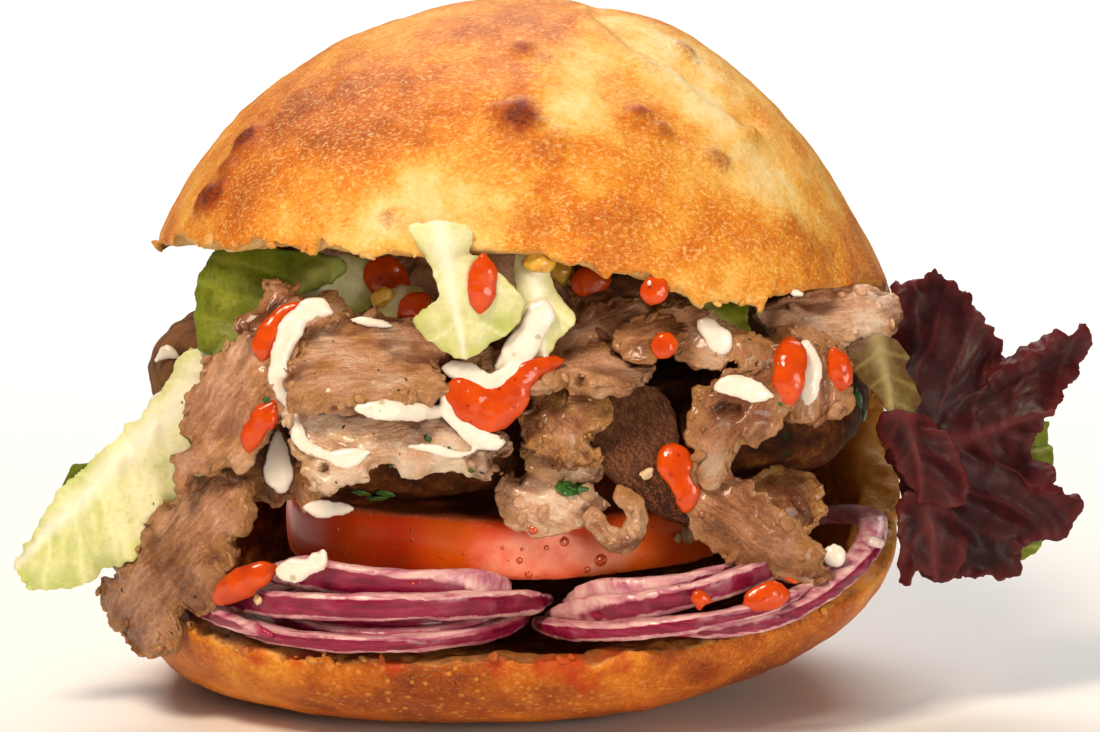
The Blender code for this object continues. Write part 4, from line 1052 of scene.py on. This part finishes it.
def surface_trees(pieces):
    depsgraph = bpy.context.evaluated_depsgraph_get()
    return [BVHTree.FromObject(piece, depsgraph) for piece in pieces]


def first_surface(trees, spot):
    """How far along FRONT from its start BEFORE the spot the first surface lies, in mm, with its normal."""
    best, facing = None, None
    start = (spot - FRONT * BEFORE) * MM
    for tree in trees:
        hit = tree.ray_cast(start, FRONT)
        if hit[0] is not None and (best is None or hit[3] < best):
            best, facing = hit[3], hit[1]
    return (best / MM, facing) if best is not None else (None, None)


def along_stroke(stroke):
    """Spots a STEP apart along a stroke, with the half-width at each."""
    node, *marks = stroke
    knots = [np.array((*at(node, a, u), w)) for a, u, w in marks]
    knots = [knots[0]] + knots + [knots[-1]]
    spots = []
    for a, b, c, d in zip(knots, knots[1:], knots[2:], knots[3:]):
        steps = max(2, int(np.linalg.norm((c - b)[:3]) / STEP))
        for t in np.arange(steps) / steps:
            spots.append(0.5 * (2 * b + (c - a) * t + (2 * a - 5 * b + 4 * c - d) * t ** 2
                                + (3 * b - a - 3 * c + d) * t ** 3))
    return spots + [knots[-1]]


def own_depths(node, spots):
    """How far along FRONT from its start BEFORE each spot the node's own piece lies, in mm."""
    piece = next(o for o in bpy.context.scene.objects if o.name.startswith(node + "."))
    points = points_of(piece)
    flat, depth = points @ SEEN.T, points @ np.array(FRONT)
    found = []
    for spot in spots:
        gap = np.linalg.norm(flat - SEEN @ spot[:3], axis=1)
        found.append(depth[gap < gap.min() + 1.5].min() - spot[:3] @ np.array(FRONT) + BEFORE)
    return np.array(found)


def laid_depths(node, spots, trees):
    """How far along FRONT a sauce lies at each spot, hugging what it runs over and never hanging far behind
    its own piece."""
    own = own_depths(node, spots)
    depths = [first_surface(trees, Vector(s[:3]))[0] for s in spots]
    depths = np.array([own[i] if d is None else min(d, own[i] + 1.0) for i, d in enumerate(depths)])
    held = np.empty(len(depths))
    for i, spot in enumerate(spots):
        reach = 3 + int(2.2 * spot[3])
        held[i] = np.percentile(depths[max(0, i - reach):i + reach + 1], 20)
    return np.array([held[max(0, i - 3):i + 4].mean() for i in range(len(held))])


def pour(name, strokes, trees, fullness, seed):
    """A sauce laid along its strokes as a row of flat drops grown together."""
    frame_of = np.array((*SEEN, FRONT))
    round_points, round_faces = ball(2)
    shapes = []
    for number, stroke in enumerate(strokes):
        spots = along_stroke(stroke)
        walk = np.array([(i * STEP, number * 9.0, 0.0) for i in range(len(spots))])
        uneven = 1 + 0.34 * lumps(walk, 5.0, 2, seed) + 0.22 * lumps(walk, 1.8, 2, seed + 1)
        from_end = np.minimum(np.arange(len(spots)), np.arange(len(spots))[::-1])
        thin = 0.55 + 0.45 * ease(0, 3.5, from_end)
        before = None
        for spot, depth, more in zip(spots, laid_depths(stroke[0], spots, trees), uneven * thin):
            wide = 1.2 * spot[3] * more
            high = fullness * (0.35 + 0.42 * wide)
            middle = np.array(Vector(spot[:3]) - FRONT * BEFORE + FRONT * (depth - 0.15 * high))
            drop = np.array((*middle, wide, high))
            steps = 1 if before is None else 1 + int(np.linalg.norm((drop - before)[:3]) / 0.7)
            for t in (np.arange(steps) + 1) / steps:
                x, y, z, wide, high = drop if before is None else before + (drop - before) * t
                shapes.append((round_points * (wide, wide, high) @ frame_of + (x, y, z), round_faces))
            before = drop
    obj = many(name, shapes)
    even_out(obj, 0.42, 6)
    points, normals = points_of(obj), normals_of(obj)
    move_points(obj, points + normals * (0.14 + 0.2 * lumps(points, 2.4, 3, seed))[:, None])
    return obj


def sauce_finish(name, stops, fleck_tint, fleck_size, glow, radius):
    """A thick glossy sauce: its body colour, small seeds or herb flecks in it, soft light through its
    edge."""
    finish = Finish(name, shine=0.2, coat=(0.5, 0.05), glow=(glow, 0.0015, radius))
    where = finish.where()
    swirl = finish.noise(where, 3.0, 4.0)
    tint = finish.ramp(swirl, *stops)
    flecks = finish.cells(where, fleck_size)
    flecks = finish.span(flecks, 0.16, 0.08, 0.8)
    tint = finish.mix(flecks, tint, fleck_tint)
    return finish.done(tint, finish.bump(swirl, 0.35, 0.5), finish.between(swirl, 0.12, 0.3))


# ---------------------------------------------------------------- loose bits

def painted(obj, name):
    """The values kept for each point by paint."""
    data = obj.data.attributes[name]
    if data.data_type == "FLOAT":
        flat = np.empty(len(obj.data.vertices), np.float32)
        data.data.foreach_get("value", flat)
        return flat
    flat = np.empty(len(obj.data.vertices) * 3, np.float32)
    data.data.foreach_get("vector", flat)
    return flat.reshape(-1, 3)


def knobbly(size, seed, rings=2, rough=0.6, bend=0.0):
    """A small uneven nugget or sliver, size mm from its middle each way, and flat in its last direction."""
    points, faces = ball(rings)
    points = points * (1 + rough * lumps(points + seed, 1.3, 3, seed))[:, None] * size
    points[:, 2] += bend * (points[:, 0] / size[0]) ** 2
    return points, faces


def lay(points, spot, facing, turn):
    """Turns a nugget's points so that its flat side faces that way, and moves them to the spot."""
    facing = Vector(facing).normalized()
    aim = facing.to_track_quat("Z", "Y").to_matrix() @ Matrix.Rotation(turn, 3, "Z")
    return points @ np.array(aim).T + np.array(spot)


def crumbs_on(name, pieces, names, choose, count, low, high, seed):
    """Nuggets stuck on the pieces where choose allows; each takes its finish's values from its spot."""
    pick = np.random.default_rng(seed)
    spots, facing, values = [], [], {key: [] for key in names}
    for piece in pieces:
        points, normals = points_of(piece), normals_of(piece)
        seen = choose(piece, points, normals)
        spots.append(points[seen])
        facing.append(normals[seen])
        for key in names:
            values[key].append(painted(piece, key)[seen])
    spots, facing = np.concatenate(spots), np.concatenate(facing)
    values = {key: np.concatenate(parts) for key, parts in values.items()}
    shapes, kept = [], {key: [] for key in names}
    for number in pick.choice(len(spots), count, replace=False):
        size = low + (high - low) * pick.random() ** 2
        points, faces = knobbly(size * np.array((1.2, 0.8, 0.5)) * pick.uniform(0.7, 1.3, 3), int(number))
        way = facing[number] + pick.normal(0, 0.4, 3)
        shapes.append((lay(points, spots[number] + pick.normal(0, 0.3, 3), way, pick.uniform(0, 6)), faces))
        for key in names:
            kept[key].append(np.repeat(values[key][number:number + 1], len(points), axis=0))
    obj = many(name, shapes)
    paint(obj, **{key: np.concatenate(parts) for key, parts in kept.items()})
    return obj


def shavings_over(heap, count, seed):
    """Shavings of meat that cover the heap's core, each bent and turned its own way."""
    pick = np.random.default_rng(seed)
    points, normals = points_of(heap), normals_of(heap)
    shapes, values = [], {"grain": [], "rim": [], "tone": [], "hollow": [], "smear": []}
    for number in pick.choice(len(points), count, replace=False):
        size = np.array((pick.uniform(5, 9), pick.uniform(2.4, 4.4), pick.uniform(0.7, 1.2)))
        sliver, faces = knobbly(size, int(number), rings=3, rough=0.4, bend=pick.uniform(-2.0, 0.5))
        share = np.linalg.norm(sliver[:, :2] / size[:2], axis=1)
        way = normals[number] + pick.normal(0, 0.3, 3)
        spot = points[number] + normals[number] * 0.9
        shapes.append((lay(sliver, spot, way, pick.uniform(0, 6)), faces))
        values["grain"].append((sliver + number) * MM)
        values["rim"].append(ease(0.6, 1.0, share) * 0.6)
        values["tone"].append(np.full(len(sliver), pick.uniform(0.35, 0.75)))
        # Painted shade in the shaving's hollows.
        values["hollow"].append(0.4 * ease(0.1, -0.5, lumps(sliver + number, 3.0, 2, 7)))
        values["smear"].append(np.zeros(len(sliver)))
    obj = many("doner_heap.shavings", shapes)
    paint(obj, **{key: np.concatenate(parts) for key, parts in values.items()})
    return obj


def on_top(trees, node, across, up):
    """Where that part of a node's front lies on what shows there: the spot in mm and the way it faces."""
    spot = at(node, across, up)
    depth, facing = first_surface(trees, spot)
    if depth is None:
        return None, None
    return np.array(spot - FRONT * BEFORE + FRONT * depth), facing


def bits(name, trees, table, shape, rings=2, rough=0.6, stand=0.0):
    """Small pieces set on the food: rows of node, across, up and size mm. Shape is their proportions."""
    shapes = []
    for number, (node, across, up, size) in enumerate(table):
        spot, facing = on_top(trees, node, across, up)
        if spot is not None:
            points, faces = knobbly(size * np.array(shape), number + len(name), rings, rough)
            spot = spot + stand * size * np.array(facing)
            shapes.append((lay(points, spot, facing, number * 2.4), faces))
    return many(name, shapes)


def strewn(nodes, count, low, high, seed):
    """Rows for bits(), strewn at random over the fronts of those nodes."""
    pick = np.random.default_rng(seed)
    return [(nodes[pick.integers(len(nodes))], pick.uniform(0.1, 0.9), pick.uniform(0.1, 0.9),
             pick.uniform(low, high)) for _ in range(count)]


def rows(**marks):
    """Rows for bits(), from the marks on each node."""
    return [(node, *mark) for node, places in marks.items() for mark in places]


PARSLEY = rows(
    doner_chunk_low=[(0.58, 0.70, 1.3), (0.63, 0.66, 1.5), (0.68, 0.70, 1.4), (0.73, 0.66, 1.3),
                     (0.78, 0.68, 0.9), (0.66, 0.76, 0.9)],
    doner_slice_left=[(0.78, 0.55, 0.8)],
    doner_slice_front_low=[(0.32, 0.03, 1.6), (0.38, -0.03, 1.8), (0.43, 0.02, 1.4)],
    meat_patty_right=[(0.93, 0.82, 1.2), (0.96, 0.70, 1.0)])
JUICE = rows(
    tomato_slice=[(0.63, 0.71, 0.9), (0.56, 0.87, 0.8), (0.59, 0.63, 0.5), (0.53, 0.47, 0.6),
                  (0.71, 0.47, 1.2), (0.55, 0.28, 0.7), (0.80, 0.75, 0.8), (0.68, 0.34, 0.7),
                  (0.74, 0.3, 0.5)])
PALE_BITS = rows(
    doner_slice_low_left=[(0.92, 0.42, 1.5), (0.99, 0.40, 1.3), (1.04, 0.34, 1.0), (0.10, 0.03, 1.6),
                          (0.18, -0.02, 1.3), (0.04, 0.08, 1.0)],
    beef_slice_dark=[(0.98, -0.02, 1.3), (0.88, -0.05, 0.9), (0.62, 0.42, 0.9)])
YELLOW_BITS = rows(
    iceberg_centre=[(1.13, 0.72, 2.4), (1.27, 0.70, 2.0), (1.36, 0.62, 1.6)],
    iceberg_inner_left=[(1.0, 0.35, 1.6)])


def small_finish(name, dark, light, grain, rough, glow, coat):
    """The shared build of a small loose bit's finish: two tints in fine grain, its own relief and gloss."""
    finish = Finish(name, coat=(coat, 0.08), glow=(glow, 0.001, (1.0, 0.7, 0.4)))
    where = finish.where()
    fine = finish.noise(where, grain, 4.0, 0.6)
    tint = finish.ramp(fine, (0.3, dark), (0.75, light))
    return finish.done(tint, finish.bump(fine, 0.4, 0.3), finish.between(fine, rough, rough + 0.2))


def torn_rims(piece, points, normals):
    """Where a slice's crumbly rim faces sideways."""
    rim = painted(piece, "rim")
    return (rim > 0.35 * rim.max()) & (normals @ np.array(FRONT) < 0.1)


def torn_lips(piece, points, normals):
    """Where the bread's crust breaks off to crumb at the front."""
    crumb = painted(piece, "crumb")
    return (crumb > 0.1) & (crumb < 0.97) & (normals @ np.array(FRONT) < 0.3) & (points[:, 2] > 12)


# ---------------------------------------------------------------- build

crust = baked_bread_finish()
bread = place(shape_bread(), crust, "bread", ["pocket_bread"])
doner = doner_finish()
doner_pieces = []
for name, cooked in DONER.items():
    doner_pieces.append(place(shape_doner(name, *cooked), doner, "meat", [name]))
minced = minced_finish()
for name in ("meat_patty_left", "meat_patty_right", "meat_patty_far_left"):
    place(shape_minced(name), minced, "dark_meat", [name])
place(shape_beef("beef_slice_dark"), beef_finish(), "dark_meat", ["beef_slice_dark"])
place(shape_tomato(), tomato_finish(), "tomato", ["tomato_slice"])
onion = onion_finish()
for number in range(1, 11):
    name = f"onion_ring_{number}"
    place(shape_onion(name), onion, "onion", [name])
finishes = leaf_finishes()
slots = {"iceberg": "iceberg", "green": "green_leaf", "red": "red_leaf", "bronze": "red_leaf"}
for name, (kind, *how) in LEAVES.items():
    place(shape_leaf(name, *how), finishes[kind], slots[kind], [name])
meat_values = ("grain", "rim", "tone", "hollow", "smear")
place(crumbs_on("doner_crumbs", doner_pieces, meat_values, torn_rims, 420, 0.35, 1.5, 3), doner, "meat")
bread_values = ("toast", "scorch", "crumb", "soaked", "stain", "base", "golden")
place(crumbs_on("bread_crumbs", [bread], bread_values, torn_lips, 130, 0.3, 1.3, 5), crust, "bread")

heap = fine_copy("doner_heap", "core", 1.6, rounds=3, crease=0.2)
move_points(heap, points_of(heap) - normals_of(heap) * 1.6)
same = np.ones(len(heap.data.vertices))
# Painted shade: the hidden core is painted dark, with darker painted hollows, for the gaps between the
# slices.
paint(heap, rim=0 * same, tone=0.85 * same, hollow=0.5 * same, smear=0 * same, grain=points_of(heap) * MM)
place(heap, doner, "meat", ["doner_heap"])
place(shavings_over(heap, 120, 17), doner, "meat", ["doner_heap"])

food = [o for o in bpy.context.scene.objects if o.type == "MESH" and not o.hide_render]
trees = surface_trees(food)
garlic = sauce_finish("garlic_yoghurt_sauce", [(0.3, "#f6f0e6"), (0.75, "#ecdfcb")], "#b9ab84", 4.6, 0.2,
                      (1.0, 0.8, 0.6))
chilli = sauce_finish("hot_chilli_sauce", [(0.3, "#da4e02"), (0.75, "#ba3602")], "#8c1c02", 2.4, 0.03,
                      (1.0, 0.25, 0.05))
place(pour("garlic_sauce", GARLIC, trees, 0.6, 41), garlic)
place(pour("chilli_sauce", CHILLI, trees, 0.7, 43), chilli)

parsley = small_finish("chopped_parsley", "#16380c", "#3f7a22", 0.9, 0.35, 0.2, 0.2)
herbs = PARSLEY + strewn(["meat_patty_left", "meat_patty_right"], 7, 0.3, 0.7, 23)
place(bits("parsley", trees, herbs, (1.1, 0.8, 0.25), 3, 0.9, 0.3), parsley)
pepper = small_finish("cracked_pepper_and_oregano", "#1b0f08", "#4a3218", 0.5, 0.5, 0.0, 0.0)
peppered = ["doner_slice_front_low", "doner_slice_fold", "doner_slice_front_top", "doner_slice_low_left"]
specks = strewn(peppered, 34, 0.12, 0.4, 27)
place(bits("pepper_specks", trees, specks, (1.3, 0.6, 0.35), 1, 0.5, 0.2), pepper)
juice = small_finish("tomato_juice", "#b5300a", "#e0682c", 2.0, 0.06, 0.3, 1.0)
drops = JUICE + strewn(["tomato_slice"], 26, 0.15, 0.4, 29)
place(bits("tomato_juice_drops", trees, drops, (1.0, 1.0, 0.5), 3, 0.12, 0.05), juice)
cream = small_finish("soft_onion_and_fat_bits", "#c79a63", "#f2e0bb", 1.2, 0.3, 0.4, 0.3)
place(bits("pale_crumbs", trees, PALE_BITS, (1.1, 0.8, 0.6), 3, 0.7, 0.4), cream)
yellow = small_finish("pickled_yellow_pepper", "#c98a17", "#f2cf58", 1.6, 0.2, 0.5, 0.6)
place(bits("yellow_pepper_bits", trees, YELLOW_BITS, (1.3, 0.9, 0.8), 3, 0.5, 0.3), yellow)
chip = small_finish("raw_onion_chip", "#b99ba0", "#efe0da", 1.5, 0.12, 0.6, 0.6)
beside = rows(pocket_bread=[(0.955, 0.29, 2.0)])
place(bits("onion_chip", trees, beside, (1.0, 0.7, 0.5), 2, 0.5, 0.5), chip, "onion")


# ---------------------------------------------------------------- studio

def area_light(name, place_mm, target_mm, size_mm, watts, tint):
    """A large soft square light aimed at a point."""
    data = bpy.data.lights.new(name, "AREA")
    data.shape = "SQUARE"
    data.size = size_mm * MM
    data.energy = watts
    data.color = colour(tint)[:3]
    obj = bpy.data.objects.new(name, data)
    bpy.context.collection.objects.link(obj)
    obj.location = Vector(place_mm) * MM
    aim = Vector(target_mm) - Vector(place_mm)
    obj.rotation_mode = "QUATERNION"
    obj.rotation_quaternion = aim.to_track_quat("-Z", "Y")
    obj.visible_camera = False


def paper_floor():
    """A wide sheet of pale paper."""
    points = [(x, y, 0) for y in (-4000, 4000) for x in (-4000, 4000)]
    floor = mesh_piece("studio_floor", points, [(0, 1, 3, 2)])
    finish = Finish("matt_white_paper")
    tooth = finish.noise(finish.where(), 2.0, 2.0)
    floor.data.materials.append(finish.done("#f2f1ee", finish.bump(tooth, 0.05, 0.1), 0.9))
    floor.data.shade_smooth()


paper_floor()
middle_mm = (-0.8, 0.0, 59.5)
area_light("key_softbox", (-330, -560, 760), middle_mm, 260, 7.5, "#ffe9cf")
area_light("front_softbox", (400, -760, 150), middle_mm, 320, 2.9, "#fff2e2")
area_light("backdrop_softbox", (0, 900, 1000), (0, 900, 0), 1200, 17.0, "#ffffff")

world = bpy.data.worlds.new("studio_air")
world.use_nodes = True
world.node_tree.nodes["Background"].inputs["Color"].default_value = colour("#ffffff")
world.node_tree.nodes["Background"].inputs["Strength"].default_value = 0.12
bpy.context.scene.world = world
bpy.context.scene.view_settings.view_transform = "Standard"

camera = bpy.data.objects.new("camera", bpy.data.cameras.new("camera"))
bpy.context.collection.objects.link(camera)
camera.data.sensor_width = 36
camera.data.lens = 247.7
camera.data.clip_end = 20
camera.location = Vector(middle_mm) * MM - FRONT * 1.4
camera.rotation_mode = "QUATERNION"
camera.rotation_quaternion = FRONT.to_track_quat("-Z", "Y")
bpy.context.scene.camera = camera
